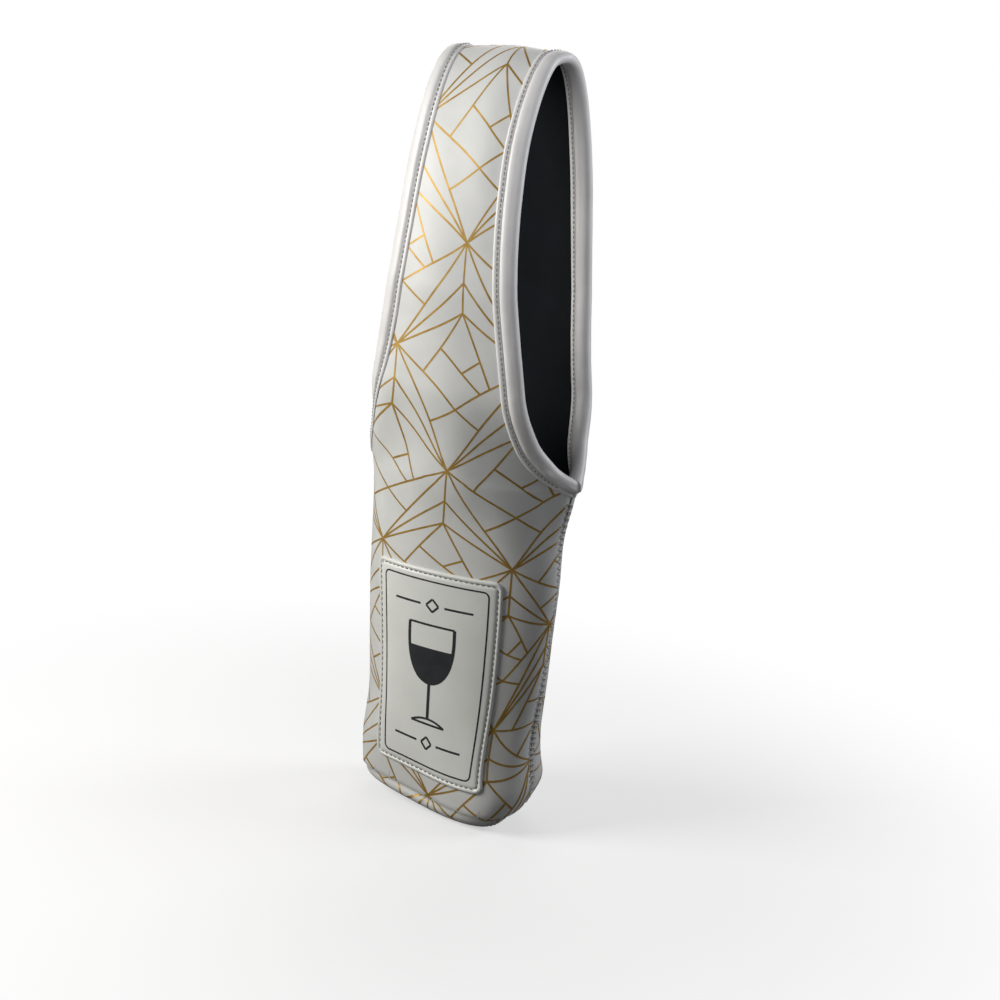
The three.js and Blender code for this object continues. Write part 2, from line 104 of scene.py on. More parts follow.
camera_data = bpy.data.cameras.new("photo_camera")
camera_data.lens = camera_data.sensor_width * FOCAL_PIXELS / PICTURE_PIXELS
camera = put("photo_camera", camera_data)
camera.matrix_world = Matrix.Translation(eye) @ Matrix((right, above, to_eye)).transposed().to_4x4()
bpy.context.scene.camera = camera
print("camera lens in mm:", round(camera_data.lens, 1))

# %% [markdown]
# ## The shape of the strip
# Everything on the sleeve lies on one curved strip, so the strip is written once, as a function. A
# place on it has three names: u runs from the left edge (-1) to the right edge (1), v runs from the
# foot (-1) over the rounded bottom edge (0), up the tube (1) and along the handle to the top (2), and
# face says front (-1) or back (1). The sizes are the CAD model's own, in millimetres.

# %% Driving sizes
HEIGHT = 410.0
MOUTH_HEIGHT = 190.0
BASE_WIDTH, BASE_DEPTH, BASE_ROUND, BASE_PROUD = 96.0, 56.0, 10.0, 0.3
BODY_WIDTH, BODY_DEPTH = 111.0, 51.0
MOUTH_WIDTH, MOUTH_DEPTH, MOUTH_ROUND = 122.0, 64.0, 1.6
STRAP_WIDTH, STRAP_CROWN, LOOP_DEPTH = 67.0, 5.0, 82.0
BASE_TWIST = radians(-8)
TWIST_END = 0.65
FACE_THICK, CORE_THICK, LINING_THICK, LAYER_GAP = 0.6, 2.4, 0.5, 0.05
SEAM_GAP = 0.3
LAMINATE = FACE_THICK + CORE_THICK + LINING_THICK + 2 * LAYER_GAP
SEAM_REACH = LAMINATE + 2.25


def smooth(t):
    """Eases from 0 to 1."""
    t = np.clip(t, 0, 1)
    return t * t * (3 - 2 * t)


def ramp(at, start, end):
    """Eases from 0 at start to 1 at end."""
    return smooth((at - start) / (end - start))


def hump(at, middle, reach):
    """A soft bump of height 1."""
    return np.exp(-(((at - middle) / reach) ** 2))


def unit(vectors):
    """The same directions with length 1."""
    return vectors / np.linalg.norm(vectors, axis=-1, keepdims=True)


def through(stations, values):
    """A smooth curve through a few stations."""
    x = np.array(stations, float)
    y = np.array(values, float)
    before = np.maximum(np.arange(len(x)) - 1, 0)
    after = np.minimum(np.arange(len(x)) + 1, len(x) - 1)
    slope = (y[after] - y[before]) / (x[after] - x[before])

    def curve(at):
        i = np.clip(np.searchsorted(x, at) - 1, 0, len(x) - 2)
        span = x[i + 1] - x[i]
        t = np.clip((at - x[i]) / span, 0, 1)
        ends = (1 + 2 * t) * (1 - t) ** 2 * y[i] + t * t * (3 - 2 * t) * y[i + 1]
        return ends + span * t * (1 - t) * ((1 - t) * slope[i] - t * slope[i + 1])

    return curve


# %% The tube and the strap
TUBE_AT = [0, 0.16, 0.4, 0.72, 1]
STRAP_AT = [0, 0.05, 0.11, 0.25, 0.5, 0.75, 1]
OVAL_MIDDLE, FLATTENED, ARCH_POWER = 0.45, 0.23, 2.2
EDGE_STEPS = 300
strap_span, loop_half = HEIGHT - MOUTH_HEIGHT, LOOP_DEPTH / 2
base_half, body_half, mouth_half = BASE_WIDTH / 2, BODY_WIDTH / 2, MOUTH_WIDTH / 2
low_half, high_half = (base_half + body_half) / 2, (body_half + mouth_half) / 2
low_deep, high_deep = (BASE_DEPTH + BODY_DEPTH) / 4, 0.35 * BODY_DEPTH + 0.15 * MOUTH_DEPTH
tube_half = through(TUBE_AT, [base_half, low_half, body_half, high_half, mouth_half])
tube_depth = through(TUBE_AT, [BASE_DEPTH / 2, low_deep, BODY_DEPTH / 2, high_deep, MOUTH_DEPTH / 2])
tube_square = through(TUBE_AT, [4, 2.8, 2.2, 2, 2])
tube_round = through(TUBE_AT, [4, 2.6, 2.1, 1.9, MOUTH_ROUND])
mouth_shares = np.array([1, 0.66, 0.38, 0, 0, 0, 0])
strap_shares = np.array([0, 0.23, 0.395, 0.655, 0.54, 0.49, 0.51])
strap_half = through(STRAP_AT, mouth_shares * mouth_half + strap_shares * STRAP_WIDTH)
trough_depth = through([0, FLATTENED, OVAL_MIDDLE], [loop_half, 1.06 * loop_half, loop_half + STRAP_CROWN])
trough_bend = through([0, OVAL_MIDDLE, 0.75, 1], [0.8, 1, 0.8, 0.5])


def panel_depth(x, rise):
    """How far the strap stands from the middle plane, at x from its centre line."""
    mouth = MOUTH_DEPTH / 2 * np.maximum(0, 1 - (x / mouth_half) ** 2) ** (1 / MOUTH_ROUND)
    bend = trough_bend(rise) * STRAP_CROWN / (STRAP_WIDTH / 2) ** 2
    trough = trough_depth(np.minimum(rise, OVAL_MIDDLE)) - bend * x**2
    share = ramp(rise, 0, FLATTENED)
    return (1 - share) * mouth + share * trough


def edge_depth(rise):
    """How far the strap's edge stands from the middle plane; it closes in an arch at the top."""
    low = np.minimum(rise, OVAL_MIDDLE)
    over = (rise - low) / (1 - OVAL_MIDDLE)
    arch = np.maximum(0, 1 - over**ARCH_POWER) ** (1 / ARCH_POWER)
    return panel_depth(strap_half(low), low) * arch


rises = (1 - np.cos(pi * np.arange(EDGE_STEPS + 1) / EDGE_STEPS)) / 2
edge_steps = np.hypot(np.diff(edge_depth(rises)), np.diff(rises) * strap_span)
edge_lengths = np.concatenate([[0], np.cumsum(edge_steps)])
print("opening edge, one side of one face, in mm:", round(edge_lengths[-1], 1))

# %% A point of the strip
ARC_STEPS, TABLE_STEPS = 96, 901


def strip_point(u, v, face):
    """Points of the strip's outer side before the foot's twist, and half the strip's width there."""
    strap = v > 1
    up = np.clip(v, 0, 1)
    turn = np.clip(-v, 0, 1) * pi / 2
    inset = BASE_ROUND * (1 - np.cos(turn))
    rise = np.interp(np.clip(v - 1, 0, 1) * edge_lengths[-1], edge_lengths, rises)
    edge = np.where(strap, edge_depth(rise), 0)
    over = np.maximum(0, (rise - OVAL_MIDDLE) / (1 - OVAL_MIDDLE))
    steep = np.arctan2(over * loop_half**2, np.maximum(1e-6, edge) * strap_span * (1 - OVAL_MIDDLE))
    lean = np.where(strap, steep, 0)
    half = np.where(strap, strap_half(rise), tube_half(up) - inset)
    angle = np.linspace(0, pi / 2, ARC_STEPS + 1)
    power = np.where(strap, 1, 2 / tube_square(up))
    x = half[:, None] * np.sin(angle) ** power[:, None]
    strap_d = panel_depth(x, rise[:, None]) - panel_depth(half, rise)[:, None]
    tube_power = (2 / tube_round(up))[:, None]
    tube_d = (tube_depth(up) - inset)[:, None] * np.maximum(0, np.cos(angle)) ** tube_power
    d = np.where(strap[:, None], strap_d, tube_d)
    length = np.zeros_like(x)
    length[:, 1:] = np.cumsum(np.hypot(np.diff(x), np.diff(d)), 1)
    wanted = np.minimum(1, np.abs(u)) * length[:, -1]
    k = np.clip((length < wanted[:, None]).sum(1), 1, ARC_STEPS)
    i = np.arange(len(u))
    t = (wanted - length[i, k - 1]) / (length[i, k] - length[i, k - 1])
    across = x[i, k - 1] + t * (x[i, k] - x[i, k - 1])
    deep = d[i, k - 1] + t * (d[i, k] - d[i, k - 1])
    rounding = BASE_PROUD + (BASE_ROUND - BASE_PROUD) * (1 - np.sin(turn))
    foot_up = rounding + up * (MOUTH_HEIGHT - BASE_ROUND)
    height = np.where(strap, MOUTH_HEIGHT + rise * strap_span, foot_up)
    y = face * (edge + SEAM_GAP / 2 + deep * np.cos(lean))
    return np.stack([np.sign(u) * across, y, height + deep * np.sin(lean)], 1), length[:, -1]


def twisted(vectors, v):
    """The foot stands a little turned against the loop, fading out up the tube."""
    turn = BASE_TWIST * ramp(v, TWIST_END, 0)
    c, s = np.cos(turn), np.sin(turn)
    x, y, z = vectors.T
    return np.stack([c * x - s * y, s * x + c * y, z], 1)


heights = np.linspace(-1, 2, TABLE_STEPS)
centre_line, half_widths = strip_point(0 * heights, heights, np.full(TABLE_STEPS, -1.0))
centre_steps = np.linalg.norm(np.diff(centre_line, axis=0), axis=1)
alongs = np.concatenate([[0], np.cumsum(centre_steps)])
alongs -= np.interp(0, heights, alongs)
STRIP_TOP = alongs[-1]


def half_at(v):
    """Half the strip's width at v."""
    return np.interp(v, heights, half_widths)


print("strip from the foot's edge to the top, in mm:", round(STRIP_TOP, 1))

# %% [markdown]
# ## Soft unevenness
# Foam rubber never sits as clean as a formula. The side seams and the boxed corners pull a shallow
# groove, the foot bulges where the folded corners press out, the front has a belly at the mouth, and
# the panels have slow, low waves. This relief is added along the surface's normal.

# %% Relief
Swell = namedtuple("Swell", "size v v_reach u u_reach")
BULGE = Swell(3.0, 0.12, 0.14, 0.8, 0.3)
BELLY = Swell(4.5, 1.04, 0.13, 0.0, 0.55)
TUCK = Swell(-2.5, -0.12, 0.16, 0.0, 0.6)
RIDGE, RIDGE_AT, RIDGE_REACH = 4.0, 0.02, 0.3
SEAM_DIP, SEAM_DIP_REACH = 0.55, 1.7
CORNER_DIP, CORNER_SEAM_AT, CORNER_SEAM_REACH = 0.5, -0.37, 1.1
LONG_WAVE, SHORT_WAVE = 0.35, 0.3
FOOT_ARC = -alongs[0]


def swell(form, u, v):
    """A soft pillow on the strip."""
    return form.size * hump(v, form.v, form.v_reach) * hump(u, form.u, form.u_reach)


def relief(u, v, face, half):
    """Height in mm of the soft surface over the plain strip."""
    side = np.abs(u)
    on_tube = ramp(v, 1, 0.97) * ramp(v, -0.75, -0.45)
    groove = SEAM_DIP * hump((1 - side) * half, 0, SEAM_DIP_REACH) * on_tube
    corner = CORNER_DIP * hump((v - CORNER_SEAM_AT) * FOOT_ARC, 0, CORNER_SEAM_REACH)
    corner = corner * ramp(side, 0.66, 0.72)
    long_wave = LONG_WAVE * np.sin(5.1 * u + 7.3 * v + face)
    short_wave = SHORT_WAVE * np.sin(9.7 * v - 3.1 * u + 2 * face)
    waves = (long_wave + short_wave) * ramp(v, -0.6, -0.1)
    foot = swell(BULGE, side, v) + RIDGE * hump(v, RIDGE_AT, RIDGE_REACH) * ramp(side, 0.7, 1)
    pillows = foot * ramp(v, -0.6, 0) + swell(BELLY, u, v) + swell(TUCK, u, v)
    return waves + pillows - groove - corner


# %% [markdown]
# An empty sleeve also slumps as it stands. The foot's ends curl up, the sides are nipped in over the
# foot, the tube sways, the front edge of the right opening is drawn in, the right side is pinched
# below the mouth's corner, and the left flank rolls back by the mouth. Every piece is laid on this
# settled surface, so print, tape, patch and stitches all share the same dents. Sizes are in mm.

# %% How the sleeve settles
Pull = namedtuple("Pull", "size x_from x_to z z_reach")
PINCH = Pull(3.0, 30, 55, 163, 20)
BACK_OUT = Pull(1.5, 20, 40, 215, 25)
NIP = Pull(2.5, 30, 50, 46, 25)
EAR = Pull(3.4, 30, 50, 18, 11)
CORNER_RAISE = Pull(2.0, 48, 60, 190, 14)
CURL_RIGHT, CURL_LEFT, CURL_FADE = 10.0, 5.5, 75.0
SWAY, SWAY_AT, SWAY_REACH = 1.8, 105.0, 62.0
DRAWN_IN, FACE_DEEP = 4.8, 12.0
TOP_NARROW, SEAM_CLOSE, SEAM_CLOSE_REACH = 0.08, 0.125, 0.8
FLANK_AT, FLANK_REACH, FLANK_OUT, FLANK_BACK = 1.13, 0.13, 8.5, 6.5


def pulled(form, x, z):
    """A sideways or upward pull that starts at some x and is strongest at one height."""
    return form.size * ramp(x, form.x_from, form.x_to) * hump(z, form.z, form.z_reach)


def settled(points):
    """The standing sleeve: foot curled, sides nipped and pinched, top narrowed, seams drawn shut."""
    x, y, z = points.T
    side = np.abs(x)
    left_curl = CURL_LEFT * ramp(x, 25, -48)
    right_curl = CURL_RIGHT * ramp(x, 16, 48) * ramp(y, -18, 12)
    rise = (left_curl + right_curl) * ramp(z, CURL_FADE, 0) + pulled(CORNER_RAISE, side, z)
    drawn = DRAWN_IN * ramp(y, 0, -FACE_DEEP) * ramp(x, -5, 30) * ramp(z, 150, 195)
    drawn = drawn * (1 - 0.5 * ramp(z, 350, 410))
    aside = ramp(y, 0, FACE_DEEP) * pulled(BACK_OUT, x, z) + pulled(EAR, x, z)
    aside = aside - pulled(PINCH, x, z) - np.sign(x) * pulled(NIP, side, z)
    aside = aside - SWAY * hump(z, SWAY_AT, SWAY_REACH) - drawn
    narrow = 1 - TOP_NARROW * ramp(z, 340, 410)
    closed = y - np.sign(y) * SEAM_CLOSE * hump(y, 0, SEAM_CLOSE_REACH)
    return np.stack([x * narrow + aside, closed, z + rise], 1)


def flank(u, v, face, half):
    """The left flank by the mouth rolls back, so that its tape turns out of sight."""
    from_edge = (1 + u) * half
    share = hump(v, FLANK_AT, FLANK_REACH)
    free = 0.6 * ramp(v, 1, 1.12)
    held = free + (1 - free) * ramp(from_edge, 0, 6)
    out = FLANK_OUT * share * hump(from_edge, 10, 16) * held * (face < 0)
    back = FLANK_BACK * share * hump(from_edge, 0, 9)
    return np.stack([-out, back, 0 * u], 1)


# %% Spots: the frame of the surface
SIDE_STEP, UP_STEP = 0.02, 0.006
ABOVE_MOUTH = 1 + 1e-9
Spots = namedtuple("Spots", "point normal across up half")


def spots(u, v, face):
    """Point, outward normal and the two directions of the soft surface."""
    u, v, face = (np.ravel(a).astype(float) for a in np.broadcast_arrays(u, v, face))
    low_u, high_u = np.maximum(-1, u - SIDE_STEP), np.minimum(1, u + SIDE_STEP)
    low_v, high_v = np.maximum(-1, v - UP_STEP), np.minimum(2, v + UP_STEP)
    low_v = np.where((v > 1) & (low_v < 1), ABOVE_MOUTH, low_v)
    high_v = np.where((v < 1) & (high_v > 1), 1, high_v)
    point, half = strip_point(u, v, face)
    across = strip_point(high_u, v, face)[0] - strip_point(low_u, v, face)[0]
    across /= (high_u - low_u)[:, None]
    up = strip_point(u, high_v, face)[0] - strip_point(u, low_v, face)[0]
    up /= (high_v - low_v)[:, None]
    normal = unit(-face[:, None] * np.cross(across, up))
    # By the seam the two faces nearly touch, so the normal is kept from pointing past the middle plane.
    room = np.maximum(0, np.abs(point[:, 1]) - SEAM_GAP / 2) / SEAM_REACH
    near = (v < 1.5) & (np.abs(normal[:, 1]) > room)
    rest = np.sqrt((1 - np.minimum(1, room) ** 2) / (normal[:, 0] ** 2 + normal[:, 2] ** 2))
    held = np.stack([normal[:, 0] * rest, face * room, normal[:, 2] * rest], 1)
    normal = np.where(near[:, None], held, normal)
    normal[v <= -0.999] = (0, 0, -1)
    normal[v >= 1.999] = (0, 0, 1)
    soft = point + normal * relief(u, v, face, half)[:, None]
    point = settled(soft + flank(u, v, face, half))
    turned = [twisted(vectors, v) for vectors in (point, normal, across, up)]
    return Spots(*turned, half)


def lift(spot, height):
    """Points at a height over the surface."""
    return spot.point + spot.normal * np.reshape(height, (-1, 1))


# %% [markdown]
# ## From points to pieces
# Each piece starts as arrays of points and faces. A mesh made this way has exactly the grid that the
# shape needs, and numpy makes it in one go. Two kinds of body come back again and again: a slab, which
# is two grids joined round their rim, and a sweep, which is a ring of points drawn along a line.

# %% Bodies from points
def outward(points, faces):
    """Faces turned so that the closed body's normals point out."""
    a, b, c, d = (points[faces[:, k]] for k in range(4))
    volume = np.einsum("ij,ij->", a, np.cross(b, c)) + np.einsum("ij,ij->", a, np.cross(c, d))
    return faces if volume > 0 else faces[:, ::-1]


def slab(top, bottom, rows, columns):
    """A closed body between two grids of points."""
    i, j = np.meshgrid(np.arange(rows - 1), np.arange(columns - 1), indexing="ij")
    a = (i * columns + j).ravel()
    upper = np.stack([a, a + 1, a + 1 + columns, a + columns], 1)
    count = rows * columns
    first_row, first_column = np.arange(columns - 1), columns * np.arange(rows - 1)
    last_column, last_row = columns - 1 + first_column, count - 1 - first_row
    rim = np.concatenate([first_row, last_column, last_row, columns * (rows - 1) - first_column])
    ahead = np.roll(rim, -1)
    sides = np.stack([ahead, rim, rim + count, ahead + count], 1)
    points = np.concatenate([top, bottom])
    faces = np.concatenate([upper, upper[:, ::-1] + count, sides])
    return points, outward(points, faces)


def sweep(rings, closed=False):
    """A body drawn through rings of points; open ends are capped with quads."""
    laps, size, _ = rings.shape
    i, k = np.meshgrid(np.arange(laps if closed else laps - 1), np.arange(size), indexing="ij")
    here, there = i * size, (i + 1) % laps * size
    turn = (k + 1) % size
    faces = [np.stack([here + k, here + turn, there + turn, there + k], -1).reshape(-1, 4)]
    if not closed:
        k = np.arange(size // 2 - 1)
        cap = np.stack([k, size - 1 - k, size - 2 - k, k + 1], 1)
        faces += [cap, cap[:, ::-1] + (laps - 1) * size]
    points = rings.reshape(-1, 3)
    return points, outward(points, np.concatenate(faces))


def joined(bodies):
    """Several bodies as one mesh."""
    starts = np.cumsum([0] + [len(points) for points, _ in bodies[:-1]])
    points = np.concatenate([points for points, _ in bodies])
    return points, np.concatenate([faces + start for (_, faces), start in zip(bodies, starts)])


# %% A piece of the model
SHARP = radians(50)


def new_piece(name, body, look, replaces=(), cloth=None):
    """A mesh object that rides on the sleeve and stands for some CAD nodes."""
    points, faces = body
    mesh = bpy.data.meshes.new(name)
    mesh.from_pydata((points * MM).tolist(), [], faces.tolist())
    mesh.shade_smooth()
    mesh.set_sharp_from_angle(angle=SHARP)
    if cloth is not None:
        mesh.attributes.new("cloth", "FLOAT_VECTOR", "POINT").data.foreach_set("vector", cloth.ravel())
    mesh.materials.append(look)
    piece = put(name, mesh)
    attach(piece, BODY)
    if replaces:
        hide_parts(*replaces)
    print(name, "faces:", len(faces))
    return piece


# %% [markdown]
# ## Finishes
# Each finish is a Principled shader with a little procedural detail: a colour that drifts between two
# near shades, and a fine bump. Jersey, tape and lining have knit stitches in the bump, the patch has a
# leather grain, and the gold is a little metallic, so that it shines where the key lamp meets it. The
# knit reads the "cloth" values stored on the mesh, millimetres across and along the cut fabric, so it
# keeps its scale on every curve and turns with the strip.
# The thread of the tape and patch stitches is white, but it is given a grey colour: painted shade for the
# shadow in its stitch holes.

# %% Colours and nodes
def tint(*srgb):
    """Linear colour from the 0 to 255 numbers of a screen colour."""
    shares = np.array(srgb) / 255
    return tuple(c / 12.92 if c <= 0.04045 else ((c + 0.055) / 1.055) ** 2.4 for c in shares)


def plug(socket, value):
    """Links another node's output to an input, or sets a plain value."""
    if isinstance(value, bpy.types.NodeSocket):
        socket.id_data.links.new(value, socket)
    else:
        socket.default_value = value


def fill(made, **settings):
    """Fills in a node's inputs, or else its own settings."""
    for key, value in settings.items():
        name = key.replace("_", " ")
        if name in made.inputs:
            plug(made.inputs[name], value)
        else:
            setattr(made, key, value)
    return made


def node(tree, kind, **settings):
    return fill(tree.nodes.new("ShaderNode" + kind), **settings)


def calc(tree, operation, *values):
    made = node(tree, "Math", operation=operation)
    for socket, value in zip(made.inputs, values):
        plug(socket, value)
    return made.outputs[0]


# %% Noise and knit
COURSES, ARM_LONG, NOISE_DETAIL = 1.25, 0.6, 3.0


def texture(tree, kind, **settings):
    """The first output of a texture that is fixed to the object."""
    place = node(tree, "TexCoord").outputs["Object"]
    return node(tree, kind, Vector=place, **settings).outputs[0]


def noise(tree, scale):
    return texture(tree, "TexNoise", Scale=scale, Detail=NOISE_DETAIL)


def knit(tree, pitch):
    """Height of jersey: columns of small V stitches, pitch in mm."""
    cloth = node(tree, "Attribute", attribute_name="cloth").outputs["Vector"]
    across, along, _ = node(tree, "SeparateXYZ", Vector=cloth).outputs
    column = calc(tree, "FRACT", calc(tree, "MULTIPLY", across, 1 / pitch))
    arm = calc(tree, "ABSOLUTE", calc(tree, "SUBTRACT", column, 0.5))
    course = calc(tree, "ADD", calc(tree, "MULTIPLY", along, COURSES / pitch), arm)
    rib = calc(tree, "SINE", calc(tree, "MULTIPLY", course, 2 * pi))
    return calc(tree, "MULTIPLY", rib, calc(tree, "SUBTRACT", ARM_LONG, arm))


# %% The finishes
DRIFT_ENDS = (0.3, 0.7)


def make_finish(name, roughness, colours, scales, bump, stitch=0, cells=0, grain=1.0, **values):
    """A finish from its two colours, the scales of drift and grain, and the bump's strength and depth."""
    material = bpy.data.materials.new(name)
    material.use_nodes = True
    tree = material.node_tree
    drift_scale, grain_scale = scales
    drift = node(tree, "ValToRGB")
    plug(drift.inputs[0], noise(tree, drift_scale))
    for element, place, colour in zip(drift.color_ramp.elements, DRIFT_ENDS, colours):
        element.position = place
        element.color = (*tint(*colour), 1)
    height = noise(tree, grain_scale)
    if grain != 1:
        height = calc(tree, "MULTIPLY", height, grain)
    if stitch:
        height = calc(tree, "ADD", knit(tree, stitch), height)
    if cells:
        leather = texture(tree, "TexVoronoi", feature="DISTANCE_TO_EDGE", Scale=cells)
        height = calc(tree, "ADD", leather, height)
    strength, deep = bump
    bumped = node(tree, "Bump", Strength=strength, Distance=deep, Height=height).outputs[0]
    shader = tree.nodes["Principled BSDF"]
    fill(shader, Base_Color=drift.outputs[0], Roughness=roughness, Normal=bumped, **values)
    return material


# %% Looks and colours
JERSEY_LOOK = {"stitch": 0.8, "grain": 1.5, "Sheen_Weight": 0.25, "Sheen_Roughness": 0.4}
LEATHER_LOOK = {"cells": 1500, "grain": 0.4, "Coat_Weight": 0.12, "Coat_Roughness": 0.3}
LINING_LOOK = {"stitch": 0.9, "Specular_IOR_Level": 0.2}
THREAD_LOOK = {"scales": (400, 3000), "bump": (0.5, 0.00008), "Sheen_Weight": 0.3}
WHITE_CLOTH, WHITE_TAPE = ((214, 215, 212), (223, 223, 220)), ((228, 227, 225), (236, 235, 233))
WHITE_LEATHER, DARK_INK = ((229, 230, 225), (236, 237, 232)), ((33, 35, 38), (44, 46, 49))
DULL_GOLD, BLACK_CLOTH = ((163, 128, 56), (190, 154, 78)), ((8, 13, 17), (12, 17, 22))
# The tape and patch thread is white; its grey colour here is painted shade, the shadow of its stitch holes.
THREAD_PAINTED_SHADE, PALE_THREAD = ((132, 131, 129), (152, 151, 149)), ((196, 196, 193), (212, 212, 209))
BLACK_FOAM = ((20, 21, 24), (29, 30, 33))

JERSEY = make_finish("printed_jersey", 0.5, WHITE_CLOTH, (60, 900), (0.25, 0.00012), **JERSEY_LOOK)
GOLD = make_finish("gold_print", 0.52, DULL_GOLD, (160, 2500), (0.2, 0.00005), Metallic=0.4)
TAPE = make_finish("binding_tape", 0.4, WHITE_TAPE, (70, 500), (0.22, 0.0001), stitch=0.55)
LEATHER = make_finish("patch_leather", 0.42, WHITE_LEATHER, (45, 300), (0.3, 0.0002), **LEATHER_LOOK)
INK = make_finish("dark_ink", 0.5, DARK_INK, (120, 2000), (0.2, 0.00005))
# This thread's grey is painted shade for the shadow in the stitch holes.
THREAD = make_finish("thread", 0.55, THREAD_PAINTED_SHADE, **THREAD_LOOK)
LINING = make_finish("lining_jersey", 0.9, BLACK_CLOTH, (80, 700), (0.4, 0.00015), **LINING_LOOK)
FOAM = make_finish("foam_rubber", 0.9, BLACK_FOAM, (200, 1800), (0.5, 0.0002))
SEAM_THREAD = make_finish("seam_thread", 0.55, PALE_THREAD, **THREAD_LOOK)
print("finishes:", len(bpy.data.materials))

# %% [markdown]
# ## The laminate
# Jersey, foam rubber and lining are three layers of the same strip. Each layer is a slab between two
# depths below the outer surface. The jersey gets the finest grid, because light runs over it, and its
# columns are closer together near the seams, where the groove needs them.

# %% Jersey, foam and lining
FINE_GRID, PLAIN_GRID = (85, 14, 92, 108), (57, 8, 56, 76)
SEAM_CLOSER, MOUTH_CLOSER = 0.3, 1.25
core_depth = FACE_THICK + LAYER_GAP
lining_depth = core_depth + CORE_THICK + LAYER_GAP
FACE_LAYER = (0, FACE_THICK, "printed_jersey", JERSEY)
CORE_LAYER = (core_depth, CORE_THICK, "foam_rubber", FOAM)
LINING_LAYER = (lining_depth, LINING_THICK, "lining_jersey", LINING)


def there_and_back(v):
    """v and face of rows that run up the front and down the back."""
    back = v[-2::-1]
    return np.concatenate([v, back]), np.concatenate([0 * v - 1, 0 * back + 1])


def strip_grid(columns, foot_rows, tube_rows, strap_rows):
    """u, v and face over the whole strip, row by row from the front foot to the back foot."""
    share = np.linspace(-1, 1, columns)
    foot = np.linspace(-1, 0, foot_rows, endpoint=False)
    tube = np.linspace(0, 1, tube_rows, endpoint=False)
    strap = 1 + np.linspace(0, 1, strap_rows) ** MOUTH_CLOSER
    row_v, row_face = there_and_back(np.concatenate([foot, tube, strap]))
    u = np.tile(share + SEAM_CLOSER * (share - share**3), len(row_v))
    return u, np.repeat(row_v, columns), np.repeat(row_face, columns), len(row_v)


def cloth_values(u, v, face, half):
    """Millimetres across and along the cut strip."""
    along = np.interp(v, heights, alongs)
    along = np.where(face > 0, 2 * STRIP_TOP - along, along)
    return np.stack([u * half, along, 0 * u], 1)


def strip_layer(name, stands_for, layer, grid):
    """One layer of the strip, from foot to foot."""
    depth, thick, slot, look = layer
    u, v, face, rows = strip_grid(*grid)
    spot = spots(u, v, face)
    body = slab(lift(spot, -depth), lift(spot, -depth - thick), rows, grid[0])
    cloth = np.tile(cloth_values(u, v, face, spot.half), (2, 1))
    return new_piece(name, body, look, [stands_for], cloth)


jersey = strip_layer("jersey", "sleeve_face", FACE_LAYER, FINE_GRID)
foam = strip_layer("foam", "sleeve_core", CORE_LAYER, PLAIN_GRID)
lining = strip_layer("lining", "sleeve_lining", LINING_LAYER, PLAIN_GRID)

# %% [markdown]
# The strip was cut flat before it was sewn, and its width changes along its length. The foam is a
# padded piece; the two jerseys are sheets bonded to it.

# %% [markdown]
# ## The base panel
# The foot is closed by a flat panel of the same laminate. Its outline is the lower edge of the strip,
# drawn in by a hair, and each layer is a plate built of rings from the rim to the middle, with the
# lowest edge slightly rounded over.

# %% Base panel layers
RIM_POINTS = 160
PLATE_RINGS = [(1.0, 0.35), (0.985, 0.12), (0.95, 0.0), (0.7, 0.0), (0.4, 0.0), (0.06, 0.0)]


def base_outline():
    """The strip's lower edge, once round."""
    share = np.linspace(-1, 1, RIM_POINTS // 2, endpoint=False)
    low = np.full(len(share), -1.0)
    rim = np.concatenate([strip_point(share, low, low)[0], strip_point(-share, low, -low)[0]])
    shrink = 1 - SEAM_GAP / (BASE_DEPTH / 2 - BASE_ROUND)
    return rim * (shrink, shrink, 0)


def base_plate(name, stands_for, layer):
    """One layer of the base panel."""
    bottom, thick, slot, look = layer
    rim = base_outline()
    lower = [rim * share + (0, 0, bottom + thick * ease) for share, ease in PLATE_RINGS]
    upper = [rim * share + (0, 0, bottom + thick * (1 - ease)) for share, ease in reversed(PLATE_RINGS)]
    points = settled(np.concatenate(lower + upper))
    points = twisted(points, np.full(len(points), -1.0))
    rings = points.reshape(-1, RIM_POINTS, 3)
    cloth = np.concatenate([points[:, :2], np.zeros((len(points), 1))], 1)
    return new_piece(name, sweep(rings, closed=True), look, [stands_for], cloth)


base_jersey = base_plate("base_jersey", "base_face", FACE_LAYER)
base_foam = base_plate("base_foam", "base_core", CORE_LAYER)
base_lining = base_plate("base_lining_cloth", "base_lining", LINING_LAYER)
outline_box = np.ptp(base_outline(), axis=0) * MM

# %% [markdown]
# ## The gold print
# The jersey is printed with thin gold lines: stars on a half-drop lattice, each with two chevron
# points below it, fans of three lines from star to star, and a few rungs inside each diamond. It is
# an everyday geometric print. An image would blur on a close look, so each line is laid as a very thin
# ribbon on the surface. The cloth was stretched unevenly when it was sewn, so short tables say where
# each row of stars lies, how far its columns are apart and how its ends are pulled up or in.

# %% The lattice
LINE_WIDTH, LINE_TOP, LINE_BOTTOM = 1.1, 0.045, -0.25
LINE_STEP, FOOT_STEP, FOOT_ROW = 2.0, 0.7, -2.0
CELL_WIDE, CELL_TALL, PRINT_REACH, PRINT_FOOT = 40, 110, 0.985, -13
STAR_ROWS = [-3, -2, -1, -0.5, 0, 0.5, 1, 1.5, 2]
row_along = through(STAR_ROWS, [-86, 1.5, 94, 137, 187.3, 247, 306.3, 371, 440])
row_middle = through(STAR_ROWS, [7, 7.3, 3, -0.6, 4.7, 11.5, 9.6, 10.3, 10])
right_spread = through(STAR_ROWS, [36, 36, 38, 41.5, 40, 39.7, 39.7, 39.7, 39.7])
LEFT_ROWS = [-3, -2, -1, -0.5, -0.1, 0.2, 0.5, 1, 1.5, 2]
left_spread = through(LEFT_ROWS, [36, 36, 38, 41.5, 42, 36.4, 41.3, 40, 40, 40])
left_raise = through(LEFT_ROWS, [0, 0, 0, 1, 3.5, 6.5, 3.3, 1, -3, -2])
